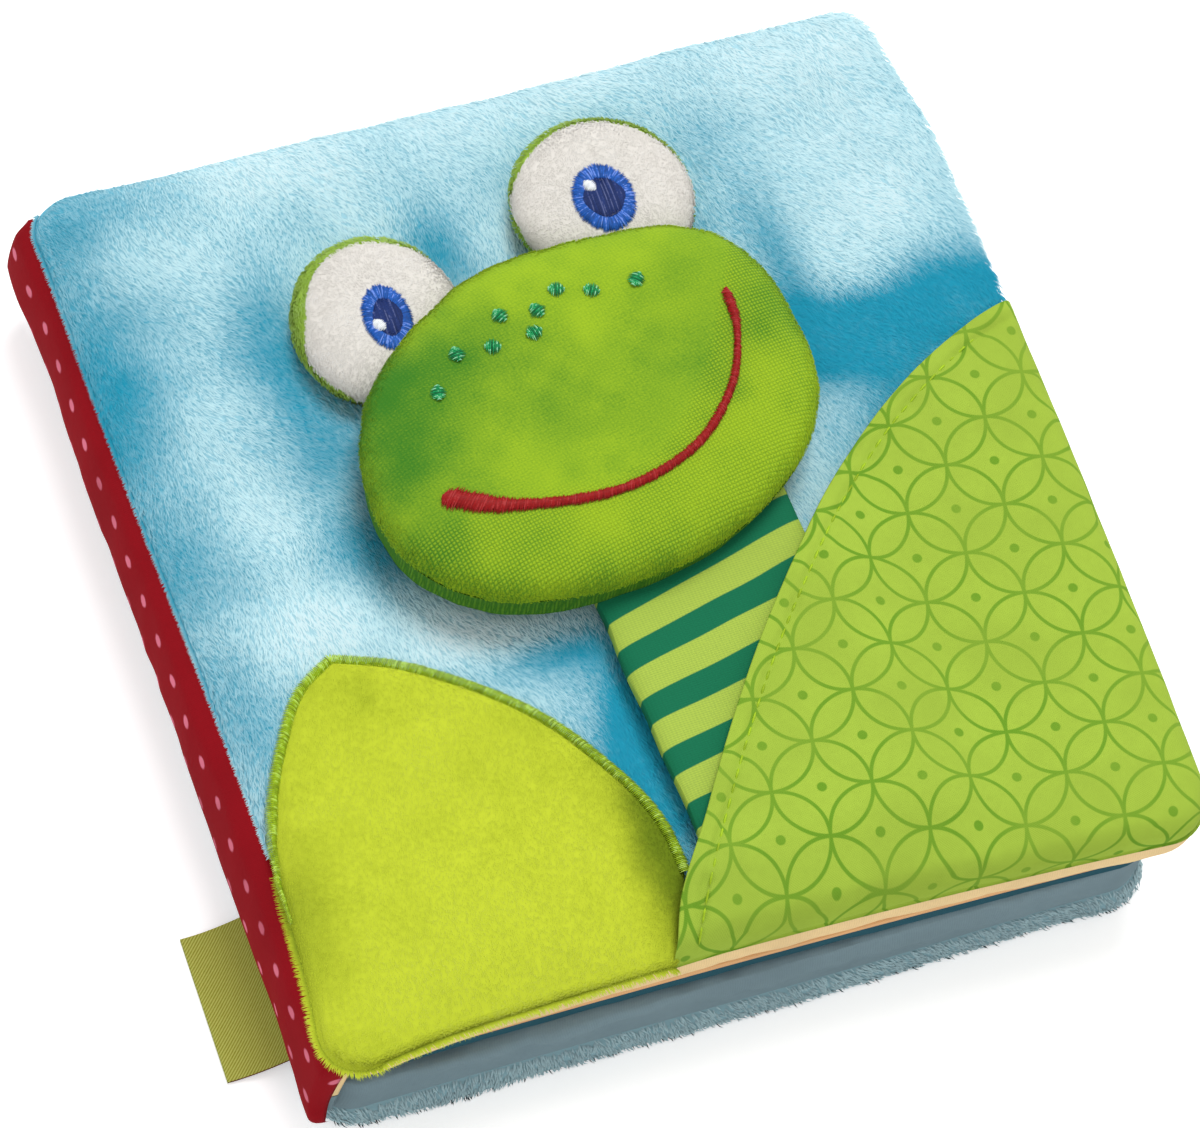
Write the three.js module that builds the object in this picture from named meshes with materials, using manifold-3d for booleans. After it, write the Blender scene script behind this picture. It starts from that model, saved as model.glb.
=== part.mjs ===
// Cloth book for a baby, lying closed on its back cover: two padded covers, one padded leaf,
// a bulging spine, and on the front cover a stuffed frog whose flat striped body sits in a pocket.
// Millimetres. +X runs from the spine to the fore edge, +Y up the page, +Z up.
// The origin is the centre of the back cover's flat underside.
import * as THREE from "three";
import Module from "manifold-3d";

const wasm = await Module();
wasm.setup();

// Clearance between touching pieces
const GAP = 0.3;

// Covers and leaf
const FRONT_WIDTH = 148;
const BACK_WIDTH = 144;
const LEAF_WIDTH = 142;
const PAGE_HEIGHT = 160;
const LEAF_HEIGHT = 157;
const CORNER = 7;
// How far the middle of each side bows out past the straight line between its corners
const BOWS = { right: -0.8, top: -0.8, left: -0.8, bottom: -0.8 };
const FRONT_BOWS = { right: 2.6, top: 1, left: -0.8, bottom: -2.2 };
const NO_BOWS = { right: 0, top: 0, left: 0, bottom: 0 };
const BACK_UNDER = 5.4;
const BACK_OVER = 10;
const LEAF_HALF = 2.3;
const FRONT_UNDER = 6.6;
const FRONT_CROWN = 4.6;
const PLUSH = 2.2;
const COTTON = 0.9;
const LEAF_SETBACK = 1.5;

// Spine
const SPINE_LENGTH = 158;
const SPINE_EDGE = 1;
const SPINE_BULGE = 3.2;
const SPINE_END_DRAW = 0.2;
const SPINE_LINING = 0.6;
const SPINE_WADDING_SETBACK = 9;
const SPINE_COLOUR_CHANGE = 0.35;

// Woven tag in the lower spine seam
const TAG_LENGTH = 26;
const TAG_REACH = 11;
const TAG_THICKNESS = 0.6;
const TAG_FROM_EDGE = 25;

// Pieces sewn on the front cover, in the page frame: its origin is the cover's centre
const LEAF_PATCH_THICKNESS = 1.5;
const BORDER_WIDTH = 2.2;
const BORDER_THICKNESS = 1.9;
const LEAF_PATCH_APEX = [-55.3, -15];
const LEAF_PATCH_LEFT = [[-62, -19.5], [-67, -27], [-71, -35], [-73.4, -42.5]];
const LEAF_PATCH_RIGHT = [[-45.8, -18.6], [-37.8, -23.5], [-29.8, -29.8], [-23.6, -36.4], [-18.6, -44],
  [-14.9, -51], [-12.8, -58], [-12.2, -66]];
const PATCH_SETBACK = 2.8;
const POCKET_MOUTH = [[-19.4, -82], [-12.2, -67.7], [2, -45.7], [17, -26], [38, -3], [58, 11.5], [76.5, 20.6]];
const POCKET_PANEL = 1;
const POCKET_LINING = 0.8;

// Frog's flat striped body
const BODY_WIDTH = 38;
const BODY_THICKNESS = 4.6;
const BODY_CENTRE = [7.2, -14];
const BODY_LEAN = 3.4;
const BODY_LOWER_END = 56;
const BODY_CORNER = 3;
const POCKET_FLANK = 8;
const POCKET_RAMP = 6;
const SIDE_CLEARANCE = 0.5;

// Frog's head
const HEAD_CENTRE = [-2.5, 14];
const HEAD_OUTLINE = [[-42.1, 7.5], [-39.2, -6], [-29, -15.3], [-13.5, -18.5], [4.5, -17], [18, -12], [29.5, -3],
  [35.8, 9.5], [36, 25], [31.5, 38.5], [21, 44.6], [3, 45.2], [-13, 42.8], [-27, 34], [-38, 22.5]];
const HEAD_FRONT = 9.3;
const HEAD_BACK = 8.1;
const VELOUR = 1.2;
const CHIN_SLOPE = 13;
const CHIN_LINE = -18.6;
const NECK_LENGTH = 12;
const EYES = {
  left: { centre: [-29.9, 41.4], radius: 14, pupil: [-30.2, 39.4], size: [8.2, 12], glint: [-31.9, 39] },
  right: { centre: [12.8, 53], radius: 15.6, pupil: [12.2, 52], size: [11.4, 12.8], glint: [10.6, 54.6] },
};
const EYE_FRONT = 4.9;
const EYE_BACK = 3.4;
const PUPIL_RING = 2.1;
const GLINT_SIZE = 2.4;
const THREAD = 0.7;
const MOUTH = [[-31.3, 1.6], [-21, -2.7], [-4, -4.6], [11, -0.3], [20.4, 8.8], [24.8, 19], [25.3, 26.8]];
const MOUTH_WIDTHS = [3.4, 2, 1.8, 1.8, 1.6, 1.5, 2.4];
const FRECKLE_WIDTH = 2.6;
const FRECKLES = [[-27.3, 20.9], [-22, 27.2], [-15.9, 27], [-13.1, 32.3], [-8.7, 27.7], [-7.4, 31.7],
  [-2.5, 34.8], [3.2, 33.2], [11.2, 33.4]];

// Heights of the stack, from the table up
const BACK_TOP = BACK_UNDER + BACK_OVER;
const LEAF_SEAM = BACK_TOP + GAP + LEAF_HALF;
const FRONT_SEAM = LEAF_SEAM + LEAF_HALF + GAP + FRONT_UNDER;
const FRONT_TOP = FRONT_SEAM + FRONT_CROWN;
const BODY_BOTTOM = FRONT_TOP + GAP;
const BODY_TOP = BODY_BOTTOM + BODY_THICKNESS;
const HEAD_SEAM = BODY_BOTTOM + HEAD_BACK;
const EYE_SEAM = BODY_BOTTOM + EYE_BACK;

// The back cover's centre is the origin; the front cover has slid a little towards the fore edge
const BACK_EDGE = -BACK_WIDTH / 2;
const FRONT_SLIP = 3.5;
const FRONT_EDGE = FRONT_SLIP - FRONT_WIDTH / 2;
const SPINE_FOOT = { x: BACK_EDGE - GAP, z: BACK_UNDER + GAP };
const SPINE_HEAD = { x: FRONT_EDGE - GAP, z: FRONT_SEAM - GAP };
const LEAF_EDGE = BACK_EDGE + LEAF_SETBACK;
const TAG_CENTRE_Y = TAG_FROM_EDGE - PAGE_HEIGHT / 2;
const PATCH_EDGE = FRONT_WIDTH / 2 - PATCH_SETBACK;

// A length past every piece, for blocks that only cut
const BEYOND = FRONT_WIDTH + PAGE_HEIGHT;

// Profiles of padded pieces: [distance in from the seam, height over the seam] for a unit rise
const CROWN = [[0, 0], [0.6, 0.35], [2.2, 0.66], [5, 0.87], [10, 0.96], [20, 1]];
const WALL = [[0, 0], [0.25, 0.35], [0.9, 0.65], [2.6, 0.87], [6, 0.97], [13, 1]];
const BELLY = [[0, 0], [0.5, 0.44], [1.8, 0.78], [4.5, 0.96], [8, 1]];
const THIN = [[0, 0], [0.5, 0.52], [1.6, 0.83], [4, 0.96], [10, 1]];
const STUFFED = [[0, 0], [0.8, 0.28], [2.4, 0.53], [5.5, 0.75], [10, 0.9], [17, 0.98], [24, 1]];
const BUTTON = [[0, 0], [0.7, 0.38], [2.2, 0.68], [5, 0.89], [9, 1]];

// A profile with its heights multiplied by the rise, which is negative for a lower half.
function raised(profile, rise) {
  return profile.map(([inset, height]) => [inset, height * rise]);
}

// The profile moved out along its own normal; a negative distance moves it inwards.
function offsetProfile(profile, distance) {
  const side = Math.sign(profile.at(-1)[1]);
  return profile.map(([inset, height], i) => {
    if (i === 0) return [inset - distance, height];
    const [fromInset, fromHeight] = profile[i - 1];
    const [toInset, toHeight] = profile[Math.min(i + 1, profile.length - 1)];
    const run = toInset - fromInset;
    const rise = toHeight - fromHeight;
    const length = Math.hypot(run, rise);
    return [inset - (Math.abs(rise) / length) * distance, height + ((side * run) / length) * distance];
  });
}

// A closed solid from points and triangles, turned so that its faces point out.
function solid(points, triangles) {
  const [a, b, c] = [new THREE.Vector3(), new THREE.Vector3(), new THREE.Vector3()];
  let volume = 0;
  for (const [i, j, k] of triangles) {
    a.fromArray(points[i]);
    volume += a.dot(b.fromArray(points[j]).cross(c.fromArray(points[k])));
  }
  const facing = volume < 0 ? triangles.map(([i, j, k]) => [k, j, i]) : triangles;
  const mesh = new wasm.Mesh({
    numProp: 3,
    vertProperties: new Float32Array(points.flat()),
    triVerts: new Uint32Array(facing.flat()),
  });
  return new wasm.Manifold(mesh);
}

// Triangles that close a ring from its middle, from side to side, or over any outline without straight runs.
function fanCap(ring) {
  const middle = [0, 1, 2].map((axis) => ring.reduce((sum, point) => sum + point[axis], 0) / ring.length);
  const triangles = ring.map((_, i) => [i, (i + 1) % ring.length, ring.length]);
  return { extra: [middle], triangles };
}

function stripCap(ring) {
  const last = ring.length - 1;
  const triangles = [];
  for (let i = 0; i + 1 < ring.length / 2; i += 1) {
    triangles.push([i, i + 1, last - 1 - i], [i, last - 1 - i, last - i]);
  }
  return { extra: [], triangles };
}

function outlineCap(ring) {
  const flat = ring.map(([x, y]) => new THREE.Vector2(x, y));
  const turn = Math.sign(THREE.ShapeUtils.area(flat));
  const triangles = THREE.ShapeUtils.triangulateShape(flat, []).map(([i, j, k]) => {
    const same = Math.sign(THREE.ShapeUtils.area([flat[i], flat[j], flat[k]])) === turn;
    return same ? [i, j, k] : [k, j, i];
  });
  return { extra: [], triangles };
}

// A solid skinned over rings with equally many points, closed by a cap at each end.
function loft(rings, cap = fanCap) {
  const count = rings[0].length;
  const triangles = [];
  for (let ring = 0; ring + 1 < rings.length; ring += 1) {
    for (let i = 0; i < count; i += 1) {
      const here = ring * count + i;
      const beside = ring * count + ((i + 1) % count);
      triangles.push([here, beside, beside + count], [here, beside + count, here + count]);
    }
  }
  const points = rings.flat();
  const close = (ring, start, turned) => {
    const { extra, triangles: faces } = cap(ring);
    const place = (index) => (index < count ? start + index : points.length + index - count);
    triangles.push(...faces.map((face) => (turned ? face.toReversed() : face).map(place)));
    points.push(...extra);
  };
  close(rings[0], 0, true);
  close(rings.at(-1), (rings.length - 1) * count, false);
  return solid(points, triangles);
}

// An outline of a cover or leaf: a rectangle with round corners whose sides bow in or out between them.
function panelOutline({ width, height, corner = CORNER, bows = BOWS, centre = [0, 0], turn = 0 }) {
  const cornerSteps = 3;
  const sideSteps = 5;
  const rotation = THREE.MathUtils.degToRad(turn);
  const middle = new THREE.Vector2(...centre);
  return (inset) => {
    const a = width / 2 - inset;
    const b = height / 2 - inset;
    const radius = Math.max(corner - inset, corner / 4);
    const corners = [[1, -1], [1, 1], [-1, 1], [-1, -1]].map(([x, y]) => [x * (a - radius), y * (b - radius)]);
    const points = [];
    corners.forEach(([x, y], index) => {
      const arc = Array.from({ length: cornerSteps + 1 }, (_, step) => {
        const angle = (index - 1 + step / cornerSteps) * (Math.PI / 2);
        return new THREE.Vector2(x + radius * Math.cos(angle), y + radius * Math.sin(angle));
      });
      points.push(...arc);
      const [nextX, nextY] = corners[(index + 1) % corners.length];
      const nextAngle = index * (Math.PI / 2);
      const next = new THREE.Vector2(nextX + radius * Math.cos(nextAngle), nextY + radius * Math.sin(nextAngle));
      for (let step = 1; step < sideSteps; step += 1) {
        points.push(arc.at(-1).clone().lerp(next, step / sideSteps));
      }
    });
    for (const point of points) {
      const [fromX, fromY] = [point.x / a, point.y / b];
      point.x += (point.x > 0 ? bows.right : bows.left) * fromX * (1 - fromY * fromY);
      point.y += (point.y > 0 ? bows.top : bows.bottom) * fromY * (1 - fromX * fromX);
      point.add(middle).rotateAround(middle, rotation);
    }
    return points;
  };
}

// An outline through a few points, or round; its inset runs straight towards the centre.
function curvedOutline(through, centre, count) {
  const curve = new THREE.CatmullRomCurve3(through.map(([x, y]) => new THREE.Vector3(x, y, 0)), true);
  const points = curve.getSpacedPoints(count).slice(0, count);
  return inwardOutline(points.map(({ x, y }) => new THREE.Vector2(x, y)), centre);
}

function ovalOutline([x, y], width, height, count) {
  const curve = new THREE.EllipseCurve(x, y, width / 2, height / 2);
  return inwardOutline(curve.getPoints(count).slice(0, count), [x, y]);
}

function inwardOutline(points, centre) {
  const middle = new THREE.Vector2(...centre);
  return (inset) => points.map((point) => {
    const away = point.clone().sub(middle);
    return away.setLength(away.length() - inset).add(middle);
  });
}

function ring(outline, seam, [inset, height]) {
  return outline(inset).map(({ x, y }) => [x, y, seam + height]);
}

// The whole of a padded piece, upper and lower half, grown or shrunk by a distance.
function pad({ outline, seam, upper, lower }, distance = 0) {
  const [under, over] = [offsetProfile(lower, distance), offsetProfile(upper, distance)];
  return loft([...under.reverse(), ...over.slice(1)].map((point) => ring(outline, seam, point)));
}

// The filling between two skins of unlike thickness.
function filling({ outline, seam, upper, lower }, overSkin, underSkin) {
  const rim = Math.max(overSkin, underSkin) + GAP;
  const over = offsetProfile(upper, -(overSkin + GAP)).filter(([inset]) => inset > rim);
  const under = offsetProfile(lower, -(underSkin + GAP)).filter(([inset]) => inset > rim);
  return loft([...under.reverse(), [rim, 0], ...over].map((point) => ring(outline, seam, point)));
}

// One skin of a padded piece, from its seam to its middle, with a wall thickness.
function skin({ outline, seam }, profile, thickness) {
  const side = Math.sign(profile.at(-1)[1]);
  const outer = [[0, (side * GAP) / 2], ...profile.slice(1)];
  const rim = [thickness, (side * GAP) / 2];
  const inner = offsetProfile(profile, -thickness).filter(([inset, height]) => {
    return inset > thickness && Math.abs(height) > GAP / 2;
  });
  return loft([...outer.reverse(), rim, ...inner].map((point) => ring(outline, seam, point)));
}

// A straight-sided block over an outline given as points.
function prism(points, from, to) {
  const turning = points.filter(([x, y], i) => {
    const [fromX, fromY] = points.at(i - 1);
    const [toX, toY] = points[(i + 1) % points.length];
    return Math.abs((x - fromX) * (toY - y) - (y - fromY) * (toX - x)) > 1e-4;
  });
  return loft([from, to].map((z) => turning.map(([x, y]) => [x, y, z])), outlineCap);
}

function pairs(vectors) {
  return vectors.map(({ x, y }) => [x, y]);
}

function smoothLine(through, count) {
  return new THREE.SplineCurve(through.map(([x, y]) => new THREE.Vector2(x, y))).getPoints(count);
}

// Cloth or thread of a thickness that lies on a padded piece, inside an outline.
function patchOn(padded, outline, lift, thickness) {
  const layer = pad(padded, lift + thickness).subtract(pad(padded, lift));
  return layer.intersect(prism(outline, padded.seam + GAP / 2, BEYOND));
}

const cloths = {
  skyPlush: ["#9fd0dc", 1],
  wadding: ["#f2efe6", 1],
  peachCotton: ["#e8c183", 0.9],
  paleBlueCotton: ["#a9cbdc", 0.9],
  tealCotton: ["#3d8f95", 0.9],
  redCotton: ["#a01c26", 0.85],
  limePlush: ["#c4d43f", 1],
  greenThread: ["#86b432", 0.5],
  printedCotton: ["#a5c24a", 0.85],
  plainCotton: ["#b9cf6a", 0.9],
  tagTwill: ["#93923a", 0.8],
  stripedJersey: ["#3a9a63", 0.9],
  frogVelour: ["#87b02f", 0.9],
  darkVelour: ["#5d8f2a", 0.9],
  whitePlush: ["#eeede4", 1],
  leafPlush: ["#a6c45c", 1],
  darkBlueThread: ["#1c2f6b", 0.45],
  blueThread: ["#2f78c4", 0.45],
  whiteThread: ["#f6f8fb", 0.45],
  redThread: ["#b5202c", 0.45],
  emeraldThread: ["#21955a", 0.45],
};

const materials = Object.fromEntries(Object.entries(cloths).map(([name, [color, roughness]]) => {
  return [name, new THREE.MeshStandardMaterial({ name, color, roughness, metalness: 0 })];
}));

// The named mesh of a finished solid.
function piece(name, made, cloth) {
  const { vertProperties, triVerts } = made.getMesh();
  const geometry = new THREE.BufferGeometry();
  geometry.setAttribute("position", new THREE.BufferAttribute(new Float32Array(vertProperties), 3));
  geometry.setIndex(new THREE.BufferAttribute(new Uint32Array(triVerts), 1));
  geometry.computeVertexNormals();
  const mesh = new THREE.Mesh(geometry, materials[cloth]);
  mesh.name = name;
  return mesh;
}

function group(position, ...meshes) {
  const made = new THREE.Group();
  made.position.set(...position);
  made.add(...meshes);
  return made;
}

const backCover = {
  outline: panelOutline({ width: BACK_WIDTH, height: PAGE_HEIGHT }),
  seam: BACK_UNDER,
  upper: raised(WALL, BACK_OVER),
  lower: raised(BELLY, -BACK_UNDER),
};
const leaf = {
  outline: panelOutline({ width: LEAF_WIDTH, height: LEAF_HEIGHT }),
  seam: LEAF_SEAM,
  upper: raised(THIN, LEAF_HALF),
  lower: raised(THIN, -LEAF_HALF),
};
const frontCover = {
  outline: panelOutline({ width: FRONT_WIDTH, height: PAGE_HEIGHT, bows: FRONT_BOWS }),
  seam: FRONT_SEAM,
  upper: raised(CROWN, FRONT_CROWN),
  lower: raised(WALL, -FRONT_UNDER),
};
const head = {
  outline: curvedOutline(HEAD_OUTLINE, HEAD_CENTRE, 36),
  seam: HEAD_SEAM,
  upper: raised(STUFFED, HEAD_FRONT),
  lower: raised(STUFFED, -HEAD_BACK),
};

function makeBackCover() {
  return group([0, 0, 0],
    piece("back_cover_plush", skin(backCover, backCover.lower, PLUSH), "skyPlush"),
    piece("back_cover_wadding", filling(backCover, COTTON, PLUSH), "wadding"),
    piece("back_cover_lining", skin(backCover, backCover.upper, COTTON), "paleBlueCotton"),
    piece("woven_tag", tagSolid(), "tagTwill"));
}

function makeLeaf() {
  return group([LEAF_EDGE + LEAF_WIDTH / 2, 0, 0],
    piece("leaf_front_face", skin(leaf, leaf.upper, COTTON), "peachCotton"),
    piece("leaf_wadding", filling(leaf, COTTON, COTTON), "wadding"),
    piece("leaf_back_face", skin(leaf, leaf.lower, COTTON), "tealCotton"));
}

// Distance of the spine's outer face from its inner chord, at a share of its height and of its half length.
function spineDepth(share, along = 0) {
  const ends = 1 - SPINE_END_DRAW * along ** 8;
  return SPINE_EDGE + SPINE_BULGE * ends * 4 * share * (1 - share);
}

// A layer of the spine between two depths and two shares of its height, lofted along the book.
function spineLayer(from, to, half, inner, outer) {
  const steps = 8;
  const shares = Array.from({ length: steps + 1 }, (_, step) => from + ((to - from) * step) / steps);
  const point = (share, depth, y) => [
    THREE.MathUtils.lerp(SPINE_FOOT.x, SPINE_HEAD.x, share) - depth,
    y,
    THREE.MathUtils.lerp(SPINE_FOOT.z, SPINE_HEAD.z, share),
  ];
  const stations = [-1, -0.94, -0.82, -0.5, 0, 0.5, 0.82, 0.94, 1];
  const rings = stations.map((station) => {
    const y = station * half;
    const along = Math.abs(y) / (SPINE_LENGTH / 2);
    const near = shares.map((share) => point(share, inner(share, along), y));
    const far = shares.map((share) => point(share, outer(share, along), y));
    return [...near, ...far.reverse()];
  });
  return loft(rings, stripCap);
}

function makeSpine() {
  const halfLength = SPINE_LENGTH / 2;
  const panelBack = (share, along) => spineDepth(share, along) - COTTON;
  const [liningFrom, liningTo] = [0.1, 0.9];
  const [waddingFrom, waddingTo] = [0.2, 0.8];
  const waddingHalf = halfLength - SPINE_WADDING_SETBACK;
  const split = GAP / (SPINE_HEAD.z - SPINE_FOOT.z);
  const lining = (from, to) => spineLayer(from, to, halfLength, () => 0, () => SPINE_LINING);
  const wadding = spineLayer(waddingFrom, waddingTo, waddingHalf, () => SPINE_LINING + GAP,
    (share, along) => panelBack(share, along) - GAP);
  return group([0, 0, 0],
    piece("spine_panel", spineLayer(0, 1, halfLength, panelBack, spineDepth), "redCotton"),
    piece("spine_wadding", wadding, "wadding"),
    piece("spine_lining_back", lining(liningFrom, SPINE_COLOUR_CHANGE), "paleBlueCotton"),
    piece("spine_lining_front", lining(SPINE_COLOUR_CHANGE + split, liningTo), "peachCotton"));
}

// The tag leaves the seam under the spine and droops to the table, clear of the spine laid flat over it.
function tagSolid() {
  const steps = 6;
  const height = SPINE_HEAD.z - SPINE_FOOT.z;
  const upper = Array.from({ length: steps + 1 }, (_, step) => {
    const reach = (TAG_REACH * step) / steps;
    return [SPINE_FOOT.x - reach, BACK_UNDER - GAP / 2 - spineDepth(reach / height) - GAP];
  });
  const lower = upper.map(([x, z]) => [x, z - TAG_THICKNESS]).reverse();
  const rings = [-TAG_LENGTH / 2, TAG_LENGTH / 2].map((y) => {
    return [...upper, ...lower].map(([x, z]) => [x, TAG_CENTRE_Y + y, z]);
  });
  return loft(rings, stripCap);
}

// A band of one width along a line, as an outline.
function bandOutline(line, widths) {
  const side = (sign) => line.map((point, i) => {
    const before = line[Math.max(i - 1, 0)];
    const after = line[Math.min(i + 1, line.length - 1)];
    const across = after.clone().sub(before).normalize().rotateAround(new THREE.Vector2(), Math.PI / 2);
    return point.clone().addScaledVector(across, (sign * widths(i / (line.length - 1))) / 2);
  });
  return pairs([...side(1), ...side(-1).reverse()]);
}

function pocketOutline() {
  const mouth = pairs(smoothLine(POCKET_MOUTH, 22));
  const [right, bottom] = [FRONT_WIDTH / 2 + GAP, -PAGE_HEIGHT / 2 - GAP];
  return [...mouth, [right + GAP, mouth.at(-1)[1]], [right + GAP, bottom]].map(([x, y]) => {
    return [Math.min(x, right), Math.max(y, bottom)];
  }).filter(([x, y], i, all) => i === 0 || Math.hypot(x - all[i - 1][0], y - all[i - 1][1]) > GAP / 3);
}

// The room over the body, with sloping flanks where the cloth tents down, grown by a distance.
function pocketRoom(distance) {
  const lean = THREE.MathUtils.degToRad(BODY_LEAN);
  const flat = BODY_WIDTH / 2 + SIDE_CLEARANCE + distance / 2;
  const foot = flat + POCKET_FLANK;
  const roof = BODY_TOP + GAP + distance;
  const ground = FRONT_TOP - PLUSH;
  const end = -(BODY_LOWER_END + SIDE_CLEARANCE + distance);
  const section = (y, top) => {
    return [[-foot, ground], [foot, ground], [foot, ground + GAP], [flat, top], [-flat, top], [-foot, ground + GAP]]
      .map(([x, z]) => {
        const place = new THREE.Vector2(x, y).rotateAround(new THREE.Vector2(), lean);
        return [BODY_CENTRE[0] + place.x, BODY_CENTRE[1] + place.y, z];
      });
  };
  const sections = [[end - POCKET_RAMP, FRONT_TOP], [end, roof], [NECK_LENGTH, roof]];
  return loft(sections.map(([y, top]) => section(y, top)));
}

function pocketLayer(outline, from, thickness) {
  const envelope = (distance) => pad(frontCover, GAP + distance).add(pocketRoom(distance));
  const block = prism(outline, FRONT_SEAM + GAP / 2, BEYOND);
  return envelope(from + thickness).subtract(envelope(from)).intersect(block);
}

function makeFrontCover() {
  const pocket = pocketOutline();
  const pocketCut = prism(pairs(grow(pocket, GAP)), 0, BEYOND);
  const left = smoothLine([LEAF_PATCH_APEX, ...LEAF_PATCH_LEFT], 8);
  const right = smoothLine([LEAF_PATCH_APEX, ...LEAF_PATCH_RIGHT], 14);
  const edge = [...left.slice().reverse(), ...right.slice(1)];
  const ground = -PAGE_HEIGHT / 2;
  const corner = [[LEAF_PATCH_RIGHT.at(-1)[0], ground], [-PATCH_EDGE, ground]];
  const leafOutline = [...pairs(edge), ...corner];
  const borderOutline = bandOutline(edge, () => BORDER_WIDTH);
  const insideBorder = prism(bandOutline(edge, () => BORDER_WIDTH + 2 * GAP), 0, BEYOND);
  const seamSide = prism([[-PATCH_EDGE, ground], [0, ground], [0, 0], [-PATCH_EDGE, 0]], 0, BEYOND);
  const leafPatch = patchOn(frontCover, leafOutline, GAP, LEAF_PATCH_THICKNESS)
    .intersect(seamSide)
    .subtract(insideBorder)
    .subtract(pocketCut);
  const border = patchOn(frontCover, borderOutline, GAP, BORDER_THICKNESS)
    .intersect(seamSide)
    .subtract(pocketCut);
  const panelFrom = POCKET_LINING + GAP;
  return group([FRONT_SLIP, 0, 0],
    piece("front_cover_plush", skin(frontCover, frontCover.upper, PLUSH), "skyPlush"),
    piece("front_cover_wadding", filling(frontCover, PLUSH, COTTON), "wadding"),
    piece("front_cover_lining", skin(frontCover, frontCover.lower, COTTON), "peachCotton"),
    piece("leaf_patch", largest(leafPatch), "limePlush"),
    piece("leaf_patch_border", largest(border), "greenThread"),
    piece("pocket_lining", largest(pocketLayer(pocket, 0, POCKET_LINING)), "plainCotton"),
    piece("pocket_panel", largest(pocketLayer(pocket, panelFrom, POCKET_PANEL)), "printedCotton"));
}

// The outline moved out by a distance, corner by corner.
function grow(outline, distance) {
  const points = outline.map(([x, y]) => new THREE.Vector2(x, y));
  const turn = Math.sign(THREE.ShapeUtils.area(points));
  return points.map((point, i) => {
    const before = points.at(i - 1);
    const after = points[(i + 1) % points.length];
    const out = after.clone().sub(before).normalize().rotateAround(new THREE.Vector2(), (-turn * Math.PI) / 2);
    return point.clone().addScaledVector(out, distance);
  });
}

// The main body of a cut piece: a cut can leave crumbs beside it.
function largest(made) {
  const bodies = made.decompose();
  return bodies.reduce((best, body) => (body.volume() > best.volume() ? body : best));
}

// A block on one side of the chin line, where the head folds up from the body.
function chinSide(upper, clearance) {
  const slope = THREE.MathUtils.degToRad(CHIN_SLOPE);
  const [near, far] = upper ? [clearance, BEYOND] : [-BEYOND, -clearance];
  const corners = [[-BEYOND, near], [BEYOND, near], [BEYOND, far], [-BEYOND, far]];
  return prism(corners.map(([u, v]) => {
    const place = new THREE.Vector2(u, v).rotateAround(new THREE.Vector2(), slope);
    return [place.x, place.y + CHIN_LINE];
  }), 0, BEYOND);
}

function makePuppetBody() {
  const length = BODY_LOWER_END + NECK_LENGTH;
  const middle = new THREE.Vector2(0, (NECK_LENGTH - BODY_LOWER_END) / 2)
    .rotateAround(new THREE.Vector2(), THREE.MathUtils.degToRad(BODY_LEAN));
  const body = {
    outline: panelOutline({
      width: BODY_WIDTH,
      height: length,
      corner: BODY_CORNER,
      bows: NO_BOWS,
      centre: [BODY_CENTRE[0] + middle.x, BODY_CENTRE[1] + middle.y],
      turn: BODY_LEAN,
    }),
    seam: BODY_BOTTOM + BODY_THICKNESS / 2,
    upper: raised(THIN, BODY_THICKNESS / 2),
    lower: raised(THIN, -BODY_THICKNESS / 2),
  };
  const below = chinSide(false, GAP / 2);
  const above = chinSide(true, GAP / 2);
  const striped = (name, made) => piece(name, made.intersect(below), "stripedJersey");
  const neck = pad(body).intersect(above).subtract(pad(head, GAP));
  return {
    body: group([FRONT_SLIP, 0, 0],
      striped("body_front_panel", skin(body, body.upper, COTTON)),
      striped("body_back_panel", skin(body, body.lower, COTTON)),
      piece("body_wadding", filling(body, COTTON, COTTON).intersect(below), "wadding")),
    neck: piece("neck_band", largest(neck), "stripedJersey"),
  };
}

function makeEye(side, { centre, radius, pupil, size, glint }) {
  const eye = {
    outline: ovalOutline(centre, 2 * radius, 2 * radius, 24),
    seam: EYE_SEAM,
    upper: raised(BUTTON, EYE_FRONT),
    lower: raised(BUTTON, -EYE_BACK),
  };
  const clear = pad(head, GAP);
  const behind = (made) => largest(made.subtract(clear));
  const oval = (width, height) => pairs(ovalOutline(pupil, width, height, 20)(0));
  const [width, height] = size;
  const [coreWidth, coreHeight] = [width - 2 * PUPIL_RING, height - 2 * PUPIL_RING];
  const coreHole = prism(oval(coreWidth + 2 * GAP, coreHeight + 2 * GAP), 0, BEYOND);
  const core = patchOn(eye, oval(coreWidth, coreHeight), GAP, THREAD);
  const rim = patchOn(eye, oval(width, height), GAP, THREAD).subtract(coreHole);
  const spark = patchOn(eye, pairs(ovalOutline(glint, GLINT_SIZE, GLINT_SIZE, 10)(0)), 2 * GAP + THREAD, THREAD);
  return [
    piece(side + "_eye_front", behind(skin(eye, eye.upper, VELOUR)), "whitePlush"),
    piece(side + "_eye_back", behind(skin(eye, eye.lower, VELOUR)), "leafPlush"),
    piece(side + "_eye_stuffing", behind(filling(eye, VELOUR, VELOUR)), "wadding"),
    piece(side + "_pupil", core, "darkBlueThread"),
    piece(side + "_iris", rim, "blueThread"),
    piece(side + "_glint", spark, "whiteThread"),
  ];
}

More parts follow.
